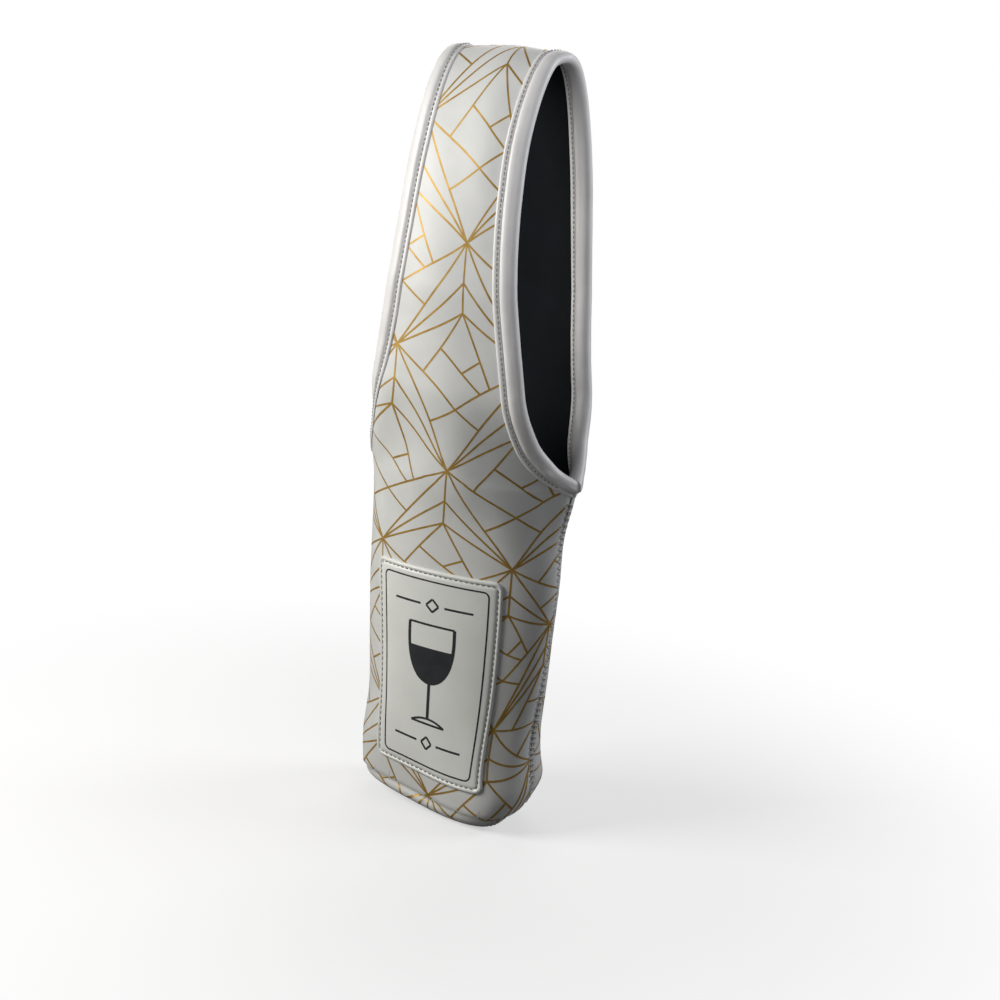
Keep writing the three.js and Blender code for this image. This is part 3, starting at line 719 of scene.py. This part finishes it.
side_pull = through(STAR_ROWS, [0.37, 0.37, 0.395, 0.15, 0, 0, 0, 0, 0])
side_raise = through(STAR_ROWS, [26, 26.5, 13.5, 4, 0, 0, 0, 0, 0])
table_rows = np.linspace(STAR_ROWS[0], STAR_ROWS[-1], 501)
TOP_ROW = float(np.interp(STRIP_TOP, row_along(table_rows), table_rows))
POINT_1, POINT_2, DROP, PAST_POWER = 0.165, 0.295, 0.5, 1.1
LEFT_END, RIGHT_END, LEFT_FOOT, RIGHT_FOOT = 0.42, 0.4, 0.31, 0.35
RUNG_FROM, RUNG_TO, SHORT_FROM, SHORT_TO = 0.58, 0.435, 0.53, 0.645
HALF_ROWS, COLUMNS = range(-4, 14), range(-3, 4)


def mix(start, end, share):
    """A place on the line from start to end."""
    return (start[0] + (end[0] - start[0]) * share, start[1] + (end[1] - start[1]) * share)


def star_lines(a, b):
    """The lines that belong to the star at column a and row b."""
    star, left, right, below = (a, b), (a - 1, b - DROP), (a + 1, b - DROP), (a, b - 2 * DROP)
    first, second = (a, b - POINT_1), (a, b - POINT_2)
    left_end = mix(below, right, LEFT_END)
    right_end = mix(below, left, RIGHT_END)
    left_foot = mix(left, left_end, LEFT_FOOT)
    right_foot = mix(right, right_end, RIGHT_FOOT)
    rung = mix(second, left_foot, RUNG_FROM), mix(right, right_end, RUNG_TO)
    short = mix(*rung, SHORT_FROM), mix(second, right_foot, SHORT_TO)
    fans = [(tip, side) for tip in (star, first, second) for side in (left, right)]
    ladder = [(left, left_end), (right, right_end), (second, left_foot), (second, right_foot), rung, short]
    return [(star, second)] + fans + ladder


def on_strip(a, b):
    """u, v, face and millimetres along of lattice places; past the top row they run down the back."""
    row = np.where(b > TOP_ROW, 2 * TOP_ROW - b, b)
    past = np.maximum(0, a - 1) ** PAST_POWER
    along = row_along(row) + np.maximum(0, -a) * left_raise(row) + past * side_raise(row)
    spread = np.where(a < 0, left_spread(row), right_spread(row))
    a = a - past * side_pull(row)
    v = np.interp(along, alongs, heights)
    return (row_middle(row) + a * spread) / half_at(v), v, np.where(b > TOP_ROW, 1.0, -1.0), along


# %% Lines to ribbons
def dot(a, b):
    return np.einsum("ij,ij->i", a, b)


def step_over(spot, move):
    """The change of u and v that makes a small move over the surface."""
    uu, uv, vv = dot(spot.across, spot.across), dot(spot.across, spot.up), dot(spot.up, spot.up)
    du, dv = dot(move, spot.across), dot(move, spot.up)
    whole = uu * vv - uv * uv
    return (du * vv - dv * uv) / whole, (dv * uu - du * uv) / whole


def half_across(spot, width):
    """Half a line's width, square to the line and flat on the surface."""
    return unit(np.cross(np.gradient(spot.point, axis=0), spot.normal)) * width / 2


def bar(left, right, top, bottom):
    """A thin flat bar between two rows of spots."""
    corners = [lift(left, bottom), lift(left, top), lift(right, top), lift(right, bottom)]
    return sweep(np.stack(corners, 1))


def runs(mask):
    """Start and end of each stretch of True."""
    steps = np.flatnonzero(np.diff(np.concatenate([[0], mask.astype(int), [0]])))
    return zip(steps[::2], steps[1::2])


def print_line(start, end):
    """The bars of one line, cut off at the seams and at the foot."""
    length = np.hypot((end[0] - start[0]) * CELL_WIDE, (end[1] - start[1]) * CELL_TALL)
    step = LINE_STEP if min(start[1], end[1]) > FOOT_ROW else FOOT_STEP
    share = np.linspace(0, 1, int(length / step) + 3)
    u, v, face, along = on_strip(*mix(start, end, share))
    keep = (np.abs(u) < PRINT_REACH) & (along > PRINT_FOOT)
    found = []
    for first, last in runs(keep):
        if last - first > 1:
            u_run, v_run, face_run = (values[first:last] for values in (u, v, face))
            spot = spots(u_run, v_run, face_run)
            du, dv = step_over(spot, half_across(spot, LINE_WIDTH))
            left, right = (
                spots(np.clip(u_run + way * du, -1, 1), v_run + way * dv, face_run) for way in (-1, 1)
            )
            found.append(bar(left, right, LINE_TOP, LINE_BOTTOM))
    return found


gold_bodies = []
for half_row in HALF_ROWS:
    for column in COLUMNS:
        if (column - half_row) % 2 == 0:
            for line in star_lines(column, half_row * DROP):
                gold_bodies += print_line(*line)
gold_print = new_piece("gold_print", joined(gold_bodies), GOLD)

# %% [markdown]
# The lines have no cut of their own: they go with the jersey.

# %% [markdown]
# ## The bound openings
# A white tape is folded over the raw edge of each opening and sewn down through all layers. Its
# section is what makes it look real: a full, rounded fold, a groove where the stitches pull it in, and
# a thin lip beyond them. The section is swept along the edge, from the front end of the seam, over
# the handle and down to the back end, and it puckers where the edge turns tightest.

# %% Spots beside the opening
TAPE_STATIONS, TAPE_CLOSER = 150, 1.5
TAPE_COVER, TAPE_GROOVE, TAPE_LINE, TAPE_LINE_HIGH = 8.9, 5.3, 6.3, 0.74
TAPE_REACH = [0.0, 0.6, 1.4, 2.4, 3.3, 4.0, 4.5, 4.95]
TAPE_REACH += [TAPE_GROOVE, 5.6, 5.95, TAPE_LINE, 6.8, 7.8, 8.5, TAPE_COVER]
TAPE_HIGH = [1.75, 1.88, 2.0, 2.05, 1.95, 1.7, 1.35, 0.85]
TAPE_HIGH += [0.3, 0.62, 0.9, TAPE_LINE_HIGH, 1.0, 1.05, 0.75, 0.2]
TAPE_SNUG, SNUG_REACH, END_FAN = 0.42, 20.0, 7.0
tape_v, tape_face = there_and_back(1 + np.linspace(0, 1, TAPE_STATIONS) ** TAPE_CLOSER)


def line_length(points):
    """How far along a line each of its points lies."""
    return np.concatenate([[0], np.cumsum(np.linalg.norm(np.diff(points, axis=0), axis=1))])


def from_ends(length):
    """How far each point lies from the nearer end of its line."""
    return np.minimum(length, length[-1] - length)


def beside_opening(side):
    """The edge, the way in from it, and spots at each reach of the tape's section."""
    u = np.full(len(tape_v), float(side))
    v = tape_v.copy()
    edge = spots(u, v, tape_face)
    inward = unit(np.cross(edge.normal, edge.up))
    inward *= -np.sign(dot(inward, edge.across) * side)[:, None]
    below = spots(u, 0.98, tape_face).point - spots(u, 1.0, tape_face).point
    below[:, 1] = 0
    from_end = from_ends(line_length(edge.point))
    at_seam = ramp(from_end, END_FAN, 0)[:, None]
    inward = unit(at_seam * unit(below) + (1 - at_seam) * inward)
    snug = 1 - TAPE_SNUG * hump(from_end, 0, SNUG_REACH)
    found = [edge]
    for width in np.diff(TAPE_REACH):
        du, dv = step_over(found[-1], inward * (snug * width)[:, None])
        u, v = np.clip(u + du, -1, 1), np.clip(v + dv, 0, 2)
        found.append(spots(u, v, tape_face))
    return edge, inward, found


# %% Gathers of the tape
FINE_WAVE, FINE_BEAT, BROAD_WAVE, BROAD_BEAT = 1.15, 4.7, 3.3, 7.9
FINE_HIGH, BROAD_HIGH, TIGHT_FINE, TIGHT_BROAD = 0.04, 0.035, 0.08, 0.16


def pucker(length, reach, side):
    """Small gathers of the tape, in mm, strongest near the ends of the opening."""
    from_end = from_ends(length)
    tight = hump(from_end, 20, 20) * ramp(from_end, 0, 12) + 0.7 * hump(length[-1] - length, 62, 22)
    fine = np.sin(length / FINE_WAVE + side) * np.sin(length / FINE_BEAT)
    broad = np.sin(length / BROAD_WAVE + 2 * side) + 0.6 * np.sin(length / BROAD_BEAT)
    fullness = np.sin(pi * np.clip(reach / TAPE_GROOVE, 0, 1)) + 0.25
    even, gathered = FINE_HIGH * fine + BROAD_HIGH * broad, TIGHT_FINE * fine + TIGHT_BROAD * broad
    return fullness * (even + tight * gathered)


# %% The tape's section, swept along the edge
CREST_THIN, CREST_REACH = 0.35, 45.0
NUB, NUB_REACH, NUB_LONG = 0.7, 3.0, 4.0
END_EASES, END_EASE, END_EASE_REACH, STITCH_START = 40, 0.6, 7.0, 7.0
FOLD_TURNS = np.radians([75, 50, 25, 0, -25, -50, -75])
TAPE_UNDER, CUT_ROUND = 0.1, 1.2


def bound_edge(name, side):
    """A tape round one opening; returns the line that its stitches follow."""
    edge, inward, found = beside_opening(side)
    length = line_length(edge.point)
    total = length[-1]
    nub = NUB * (hump(length, 1, NUB_LONG) + hump(length, total - 1, NUB_LONG))
    full = 1 - CREST_THIN * hump(length, total / 2, CREST_REACH)
    middle = lift(edge, -LAMINATE / 2)

    def path(levels):
        """Across the tape, from the rim of its outer leaf round the fold to the rim of its inner one."""
        outer = [lift(spot, level) for spot, level in zip(found, levels)]
        inner = [lift(spot, -LAMINATE - level) for spot, level in zip(found, levels)]
        radius = LAMINATE / 2 + levels[0][:, None]
        fold = [middle + radius * (edge.normal * np.sin(t) - inward * np.cos(t)) for t in FOLD_TURNS]
        return outer[::-1] + fold + inner

    outside = [
        full * high + pucker(length, reach, side) + nub * (reach < NUB_REACH)
        for reach, high in zip(TAPE_REACH, TAPE_HIGH)
    ]
    inside = [TAPE_UNDER + 0 * length] * len(found)
    rings = np.stack(path(outside) + path(inside)[::-1], 1)
    easing = END_EASE * hump(from_ends(length), 0, END_EASE_REACH)[1:-1, None, None]
    for _ in range(END_EASES):
        rings[1:-1] += easing * ((rings[:-2] + rings[2:]) / 2 - rings[1:-1])
    reach = np.array(TAPE_REACH)
    bent = (LAMINATE / 2 + TAPE_HIGH[0]) * (pi / 2 - FOLD_TURNS)
    section = np.concatenate([-reach[::-1], bent, bent[-1] + 1 + reach])
    section = np.concatenate([section, section[::-1]])
    cloth = np.stack(np.broadcast_arrays(section[None, :], length[:, None], 0.0), -1).reshape(-1, 3)
    piece = new_piece(name, sweep(rings), TAPE, [name.replace("tape", "binding")], cloth)
    sewn_part = from_ends(length) > STITCH_START
    return Spots(*(values[sewn_part] for values in found[TAPE_REACH.index(TAPE_LINE)]))


right_line = bound_edge("right_tape", 1)
left_line = bound_edge("left_tape", -1)

# %% [markdown]
# ## Stitches
# A sewing machine leaves separate stitches, each a short bridge of thread that dives into the cloth at
# both ends. One maker builds them all: it takes the path of each stitch and puts a small round tube
# along it, thinner at the ends. Tape, patch, side seams and boxed corners only differ in the paths.

# %% The stitch maker
THREAD_RADIUS, THREAD_TAPER = 0.3, 0.9
STITCH_SIDES, STITCH_STATIONS = 6, 6
Sewing = namedtuple("Sewing", "pitch gap rise dip")
TAPE_SEWING, PATCH_SEWING = Sewing(2.6, 0.55, 0.42, 0.12), Sewing(3.1, 0.9, 0.55, 0.2)


def stitches(paths, normals):
    """One tapered tube for each path; paths and normals are count x stations x 3."""
    ahead = np.gradient(paths, axis=1)
    aside = unit(np.cross(ahead, normals))
    over = unit(np.cross(aside, ahead))
    thick = THREAD_RADIUS * np.sqrt(1 - THREAD_TAPER * np.linspace(-1, 1, paths.shape[1]) ** 4)
    turns = 2 * pi * np.arange(STITCH_SIDES) / STITCH_SIDES
    rings = [paths + thick[:, None] * (aside * cos(turn) + over * sin(turn)) for turn in turns]
    return [sweep(tube) for tube in np.stack(rings, 2)]


def resampled(values, length, at):
    """Columns of values at other lengths along their line."""
    return np.stack([np.interp(at, length, column) for column in values.T], -1)


def along_line(points, normals, sewing):
    """Stitches along a line of points, at an even pitch."""
    length = line_length(points)
    count = int(length[-1] / sewing.pitch)
    pitch = length[-1] / count
    share = np.linspace(0, 1, STITCH_STATIONS)
    at = (np.arange(count)[:, None] + 0.5) * pitch + (share - 0.5) * (pitch - sewing.gap)
    arch = sewing.rise * (1 - (2 * share - 1) ** 4) - sewing.dip
    normal = resampled(normals, length, at)
    return stitches(resampled(points, length, at) + normal * arch[:, None], normal)


# %% Stitches along the tapes
def tape_stitches(name, line, stands_for):
    """Both sides of the tape show the same stitches."""
    outer = along_line(lift(line, TAPE_LINE_HIGH), line.normal, TAPE_SEWING)
    inner = along_line(lift(line, -LAMINATE - TAPE_LINE_HIGH), -line.normal, TAPE_SEWING)
    return new_piece(name, joined(outer + inner), THREAD, [stands_for])


tape_stitches("right_tape_stitches", right_line, "right_binding_thread")
tape_stitches("left_tape_stitches", left_line, "left_binding_thread")

# %% [markdown]
# The side seams are butted and sewn over with a zigzag. Each stitch runs from the front panel across
# the groove to the back panel and a little higher, and the next one comes back. The same zigzag joins
# the boxed corners at the short sides of the foot.

# %% Zigzag stitches
ZIGZAG_REACH, ZIGZAG_STEP, ZIGZAG_FILL = 2.2, 1.7, 0.43
ZIGZAG_RISE, ZIGZAG_DIP, CORNER_BRIDGE = 0.32, 0.08, 0.5
ZIGZAG_SHARES = np.linspace(-1, 1, 7)
SEAM_FOOT, SEAM_HEAD = 12.0, MOUTH_HEIGHT - 6.5
SEAM_TURNS, CORNER_TURNS = int((SEAM_HEAD - SEAM_FOOT) / ZIGZAG_STEP), 34
CORNER_FROM, CORNER_HIGH, CORNER_LOW = 0.7, -0.24, -0.5


def tube_v(height):
    return (height - BASE_ROUND) / (MOUTH_HEIGHT - BASE_ROUND)


def seam_place(side, share, k, turned):
    """Spots at a share of each seam stitch, and the groove that it bridges there."""
    v = tube_v(SEAM_FOOT + (k + 0.5 + ZIGZAG_FILL * share) * ZIGZAG_STEP)
    from_seam = np.abs(turned) * ZIGZAG_REACH / half_at(v)
    bridge = SEAM_DIP * hump(abs(share) * ZIGZAG_REACH, 0, SEAM_DIP_REACH)
    return spots(side * (1 - from_seam), v, np.where(turned < 0, -1.0, 1.0)), bridge


def corner_place(side, share, k, turned):
    """The same for a stitch over the boxed corner."""
    way = 2 * (k + 0.5 + ZIGZAG_FILL * share) / CORNER_TURNS - 1
    v = (CORNER_HIGH + CORNER_LOW) / 2 + turned * (CORNER_HIGH - CORNER_LOW) / 2
    u = side * (1 - (1 - CORNER_FROM) * np.abs(way))
    return spots(u, v, np.where(way < 0, -1.0, 1.0)), CORNER_BRIDGE * (1 - share**2)


def zigzag(name, stands_for, place, side, count):
    """A row of stitches that run to and fro."""
    k = np.arange(count)
    paths, normals = [], []
    for share in ZIGZAG_SHARES:
        spot, bridge = place(side, share, k, np.where(k % 2 == 0, share, -share))
        paths.append(lift(spot, ZIGZAG_RISE * (1 - share**4) - ZIGZAG_DIP + bridge))
        normals.append(spot.normal)
    body = joined(stitches(np.stack(paths, 1), np.stack(normals, 1)))
    return new_piece(name, body, SEAM_THREAD, [stands_for])


for side_name, side in (("right", 1), ("left", -1)):
    zigzag(f"{side_name}_seam_stitches", f"{side_name}_seam_thread", seam_place, side, SEAM_TURNS)
    zigzag(f"{side_name}_corner_stitches", f"{side_name}_corner_thread", corner_place, side, CORNER_TURNS)

# %% [markdown]
# ## The patch
# A patch of imitation leather is sewn low on the front, tilted a few degrees. Its face is a grid with
# closer lines near the rim. A corner of the grid is rounded by turning squares into quarter circles,
# so each point knows how far it is from the rim, and that distance alone gives its height: a rolled
# rim, a sewn groove, a soft swell, then the flat field.

# %% Where the patch lies
PATCH_WIDTH, PATCH_HEIGHT, PATCH_CORNER = 76.0, 117.0, 5.0
PATCH_BOTTOM, PATCH_SHIFT, PATCH_TILT = 21.0, 1.0, radians(2.0)
PATCH_LINE, PATCH_PULL, PATCH_LIFT = 2.6, 4.5, 2.0


def patch_spots(across, up):
    """Spots on the sleeve under places of the flat patch; it is sewn on a little out of square."""
    pull = ramp(across, PATCH_WIDTH / 2, -PATCH_WIDTH / 2)
    across = across - pull * PATCH_PULL * up / PATCH_HEIGHT * 2
    up = up + pull * PATCH_LIFT
    height = PATCH_BOTTOM + PATCH_HEIGHT / 2 + up * cos(PATCH_TILT) + across * sin(PATCH_TILT)
    v = tube_v(height)
    aside = PATCH_SHIFT + across * cos(PATCH_TILT) - up * sin(PATCH_TILT)
    return spots(aside / half_at(v), v, -1)


# %% The patch's face
PATCH_SEAT, PATCH_UNDER, PATCH_GROOVE = 0.05, 0.12, 0.7
RIM_AT = [0, 0.25, 0.7, 1.4, 2.0, PATCH_LINE, 3.2, 4.2, 6, 20]
RIM_HIGH = [0.3, 0.85, 1.25, 1.45, 1.2, PATCH_GROOVE, 1.15, 1.45, 1.5, 1.5]
RIM_LINES = [0, 0.12, 0.3, 0.55, 0.9, 1.4, 1.9, 2.25, PATCH_LINE, 2.95, 3.3, 3.8, 4.4, PATCH_CORNER]
MIDDLE_COLUMNS, MIDDLE_ROWS = 34, 52
rim_rise = through(RIM_AT, RIM_HIGH)


def patch_top(from_rim):
    """Height of the patch's face over the sleeve, at a distance from its rim."""
    return PATCH_SEAT + rim_rise(from_rim)


def rim_spaced(half, count):
    """Grid lines from edge to edge, closer together near the rim."""
    near = np.array(RIM_LINES)
    middle = np.linspace(PATCH_CORNER - half, half - PATCH_CORNER, count)[1:-1]
    return np.concatenate([near - half, middle, half - near[::-1]])


def rounded(x, y):
    """Squares in the corners become quarter circles; returns the places and their distance from the rim."""
    far_x = np.abs(x) - (PATCH_WIDTH / 2 - PATCH_CORNER)
    far_y = np.abs(y) - (PATCH_HEIGHT / 2 - PATCH_CORNER)
    corner = (far_x > 0) & (far_y > 0)
    shrink = np.maximum(far_x, far_y) / np.maximum(1e-9, np.hypot(far_x, far_y))
    x = np.where(corner, np.sign(x) * (np.abs(x) - far_x * (1 - shrink)), x)
    y = np.where(corner, np.sign(y) * (np.abs(y) - far_y * (1 - shrink)), y)
    return x, y, PATCH_CORNER - np.maximum(far_x, far_y)


columns, rows = rim_spaced(PATCH_WIDTH / 2, MIDDLE_COLUMNS), rim_spaced(PATCH_HEIGHT / 2, MIDDLE_ROWS)
flat_x, flat_y = (a.ravel() for a in np.meshgrid(columns, rows))
patch_x, patch_y, from_rim = rounded(flat_x, flat_y)
patch_spot = patch_spots(patch_x, patch_y)
patch_layers = lift(patch_spot, patch_top(from_rim)), lift(patch_spot, PATCH_UNDER)
patch_body = slab(*patch_layers, len(rows), len(columns))
patch = new_piece("leather_patch", patch_body, LEATHER, ["patch"])

# %% [markdown]
# The patch carries a thin printed frame and, in place of any words, a plain line drawing of a stemmed
# glass between two rules. The drawing is made of the same ribbons as the gold print.

# %% Ink lines on the patch
INK_TOP, INK_BOTTOM, INK_STEP = 0.06, -0.3, 1.2


def rounded_frame(half, tall, corner, steps=10):
    """A rectangle's outline with round corners, once round."""
    turns = np.linspace(0, pi / 2, steps)
    places = []
    for quarter, (sx, sy) in enumerate([(1, 1), (-1, 1), (-1, -1), (1, -1)]):
        angle = turns + quarter * pi / 2
        centre = np.array([sx * (half - corner), sy * (tall - corner)])
        places.append(centre + corner * np.stack([np.cos(angle), np.sin(angle)], 1))
    places = np.concatenate(places)
    return np.concatenate([places, places[:1]])


def spaced(places, step):
    """Places at even steps along a path."""
    length = line_length(places)
    return resampled(places, length, np.linspace(0, length[-1], max(3, int(length[-1] / step))))


def ink_line(places, width, closed=False):
    """A ribbon along a path on the patch."""
    across, up = spaced(np.array(places, float), INK_STEP).T
    spot = patch_spots(across, up)
    if closed:
        spot.point[-1] = spot.point[0]
    seated = lift(spot, patch_top(rounded(across, up)[2]))
    aside = half_across(spot._replace(point=seated), width)
    left, right = spot._replace(point=seated - aside), spot._replace(point=seated + aside)
    return bar(left, right, INK_TOP, INK_BOTTOM)


def ink_fill(places, rows, columns):
    """A filled shape on the patch, from a grid of places."""
    spot = patch_spots(*places.T)
    seat = patch_top(RIM_AT[-1])
    return slab(lift(spot, seat + INK_TOP), lift(spot, seat + INK_BOTTOM), rows, columns)


# %% A stemmed glass between two rules
GLASS_TALL, GLASS_WIDE, GLASS_LINE, THIN_LINE = 56.0, 31.0, 1.9, 1.2
BOWL_SHARE, FILL_SHARE, BOWL_POWER, BRIM_SHARE = 0.58, 0.4, 0.8, 0.86
FILL_ROWS, FILL_COLUMNS, FILL_WIDE, FILL_END = 16, 13, 0.97, 0.48 * pi
FOOT_HALF, FOOT_HIGH, STEM_FOOT = 0.36 * GLASS_WIDE, 3.0, 2.4
RULE_AT, RULE_START, RULE_END, DIAMOND = 39.0, 7.0, 23.0, 3.6
glass_top, glass_foot = GLASS_TALL / 2, -GLASS_TALL / 2
bowl_deep = BOWL_SHARE * GLASS_TALL


def bowl_place(turn, share=1.0):
    """A place on the bowl's outline, or at a share of its width."""
    wide = np.cos(turn) * GLASS_WIDE / 2 * (BRIM_SHARE + (1 - BRIM_SHARE) * np.sin(turn))
    return np.stack([share * wide, glass_top - bowl_deep * np.sin(turn) ** BOWL_POWER], -1)


fill_start = np.arcsin(FILL_SHARE ** (1 / BOWL_POWER))
fill_rows = np.repeat(np.linspace(fill_start, FILL_END, FILL_ROWS), FILL_COLUMNS)
wine = bowl_place(fill_rows, np.tile(np.linspace(-FILL_WIDE, FILL_WIDE, FILL_COLUMNS), FILL_ROWS))
foot_turns = np.linspace(0, pi, 24)
foot = np.stack([np.cos(foot_turns) * FOOT_HALF, glass_foot + FOOT_HIGH * np.sin(foot_turns) ** 2], 1)
drawing = [
    (bowl_place(np.linspace(0, pi, 48)), GLASS_LINE),
    (bowl_place(np.array([pi, 0.0])), THIN_LINE),
    ([(0, glass_top - bowl_deep), (0, glass_foot + STEM_FOOT)], GLASS_LINE),
    (foot, THIN_LINE),
    ([(-FOOT_HALF, glass_foot), (FOOT_HALF, glass_foot)], THIN_LINE),
]
for rule in (RULE_AT, -RULE_AT):
    drawing += [([(way * RULE_START, rule), (way * RULE_END, rule)], THIN_LINE) for way in (1, -1)]
    tips = DIAMOND * np.array([(-1, 0), (0, 1), (1, 0), (0, -1), (-1, 0)]) + (0, rule)
    drawing += [(tips[k : k + 2], THIN_LINE) for k in range(4)]

# %% Frame and drawing
FRAME_SIDE, FRAME_END, FRAME_CORNER, FRAME_WIDTH = 7.2, 6.2, 3.0, 0.9
frame_path = rounded_frame(PATCH_WIDTH / 2 - FRAME_SIDE, PATCH_HEIGHT / 2 - FRAME_END, FRAME_CORNER)
ink_bodies = [ink_line(frame_path, FRAME_WIDTH, closed=True)]
ink_bodies += [ink_line(path, width) for path, width in drawing]
ink_bodies.append(ink_fill(wine, FILL_ROWS, FILL_COLUMNS))
new_piece("patch_ink", joined(ink_bodies), INK)

# %% Stitches round the patch
SEWN_CORNER, SEWN_STEP = PATCH_CORNER - 0.5 * PATCH_LINE, 0.8
sewn = rounded_frame(PATCH_WIDTH / 2 - PATCH_LINE, PATCH_HEIGHT / 2 - PATCH_LINE, SEWN_CORNER)
sewn_spot = patch_spots(*spaced(sewn, SEWN_STEP).T)
patch_sewing = along_line(lift(sewn_spot, PATCH_SEAT + PATCH_GROOVE), sewn_spot.normal, PATCH_SEWING)
new_piece("patch_stitches", joined(patch_sewing), THREAD, ["patch_thread"])

# %% [markdown]
# ## Floor and light
# The sleeve stands on a plain pale floor. Near the sleeve the floor is a matt white that keeps the
# shadow; further out it turns into plain white for the camera, so that floor and background meet
# without a line. A soft key lamp stands to the left, as in the photograph, where the right side of
# the sleeve falls into grey. A weak, narrow one lifts the handle from the right, and two lamps behind
# draw the bright edges.

# %% Floor
FLOOR_REACH = 3.0
FADE_START, FADE_END, FADE_LEAST = 0.12, 0.42, 0.55
FLOOR_GREY, FLOOR_WHITE = tint(120, 120, 120), tint(250, 250, 250)


def blend_into(output, share, first, second):
    """Mixes two shaders into an output node."""
    mixed = node(output.id_data, "MixShader")
    for socket, value in zip(mixed.inputs, (share, first.outputs[0], second.outputs[0])):
        plug(socket, value)
    plug(output.inputs["Surface"], mixed.outputs[0])


def floor_finish():
    """Matt for light, and fading into plain white for the camera."""
    material = bpy.data.materials.new("studio_floor")
    material.use_nodes = True
    tree = material.node_tree
    tree.nodes.clear()
    to_camera = node(tree, "LightPath").outputs["Is Camera Ray"]
    colours = {"A": (*FLOOR_GREY, 1), "B": (*FLOOR_WHITE, 1)}
    shade = node(tree, "Mix", data_type="RGBA", Factor=to_camera, **colours)
    matt = node(tree, "BsdfDiffuse", Color=shade.outputs["Result"])
    place = node(tree, "NewGeometry").outputs["Position"]
    reach = node(tree, "VectorMath", operation="LENGTH", Vector=place).outputs["Value"]
    limits = {"From_Min": FADE_START, "From_Max": FADE_END, "To_Min": FADE_LEAST}
    fade = node(tree, "MapRange", interpolation_type="SMOOTHSTEP", Value=reach, **limits)
    seen = calc(tree, "MULTIPLY", fade.outputs[0], to_camera)
    output, glow = node(tree, "OutputMaterial"), node(tree, "Emission")
    blend_into(output, seen, matt, glow)
    return material


floor_mesh = bpy.data.meshes.new("studio_floor")
floor_mesh.from_pydata([(x, y, 0) for x, y in ((-1, -1), (1, -1), (1, 1), (-1, 1))], [], [(0, 1, 2, 3)])
floor_mesh.transform(Matrix.Scale(FLOOR_REACH, 4))
floor_mesh.materials.append(floor_finish())
floor = put("studio_floor", floor_mesh)

# %% Light
AIM, HANDLE_AIM = Vector((0, 0, 0.24)), Vector((0, 0, 0.37))
WARM, COOL = (1, 0.985, 0.95), (0.94, 0.95, 1)


def softbox(name, azimuth, height, distance, size, power, colour, aim=AIM, spread=180):
    """A square soft lamp that looks at the sleeve, placed by its direction."""
    lamp = bpy.data.lights.new(name, "AREA")
    lamp.size, lamp.energy, lamp.color, lamp.spread = size, power, colour, radians(spread)
    made = put(name, lamp)
    away = toward(radians(azimuth), radians(height))
    made.location = aim + distance * away
    made.rotation_euler = away.to_track_quat("Z", "Y").to_euler()


softbox("key_lamp", -49, 18, 0.66, 0.34, 4.45, WARM)
softbox("handle_lamp", 50, 24, 0.5, 0.2, 0.075, COOL, aim=HANDLE_AIM, spread=50)
softbox("edge_lamp", 132, 22, 1.0, 0.5, 4.8, COOL)
softbox("back_lamp", 205, 35, 1.2, 0.8, 4.0, WARM)
print("lamps:", len(bpy.data.lights))

# %% World
WORLD_LIGHT = 0.065
world = bpy.data.worlds.new("studio")
bpy.context.scene.world = world
world.use_nodes = True
tree = world.node_tree
sky = fill(tree.nodes["Background"], Strength=WORLD_LIGHT, Color=(*COOL, 1))
white = node(tree, "Background", Color=(1, 1, 1, 1))
to_camera = node(tree, "LightPath").outputs["Is Camera Ray"]
blend_into(tree.nodes["World Output"], to_camera, sky, white)
bpy.context.scene.view_settings.view_transform = "Standard"
print("world light:", WORLD_LIGHT)
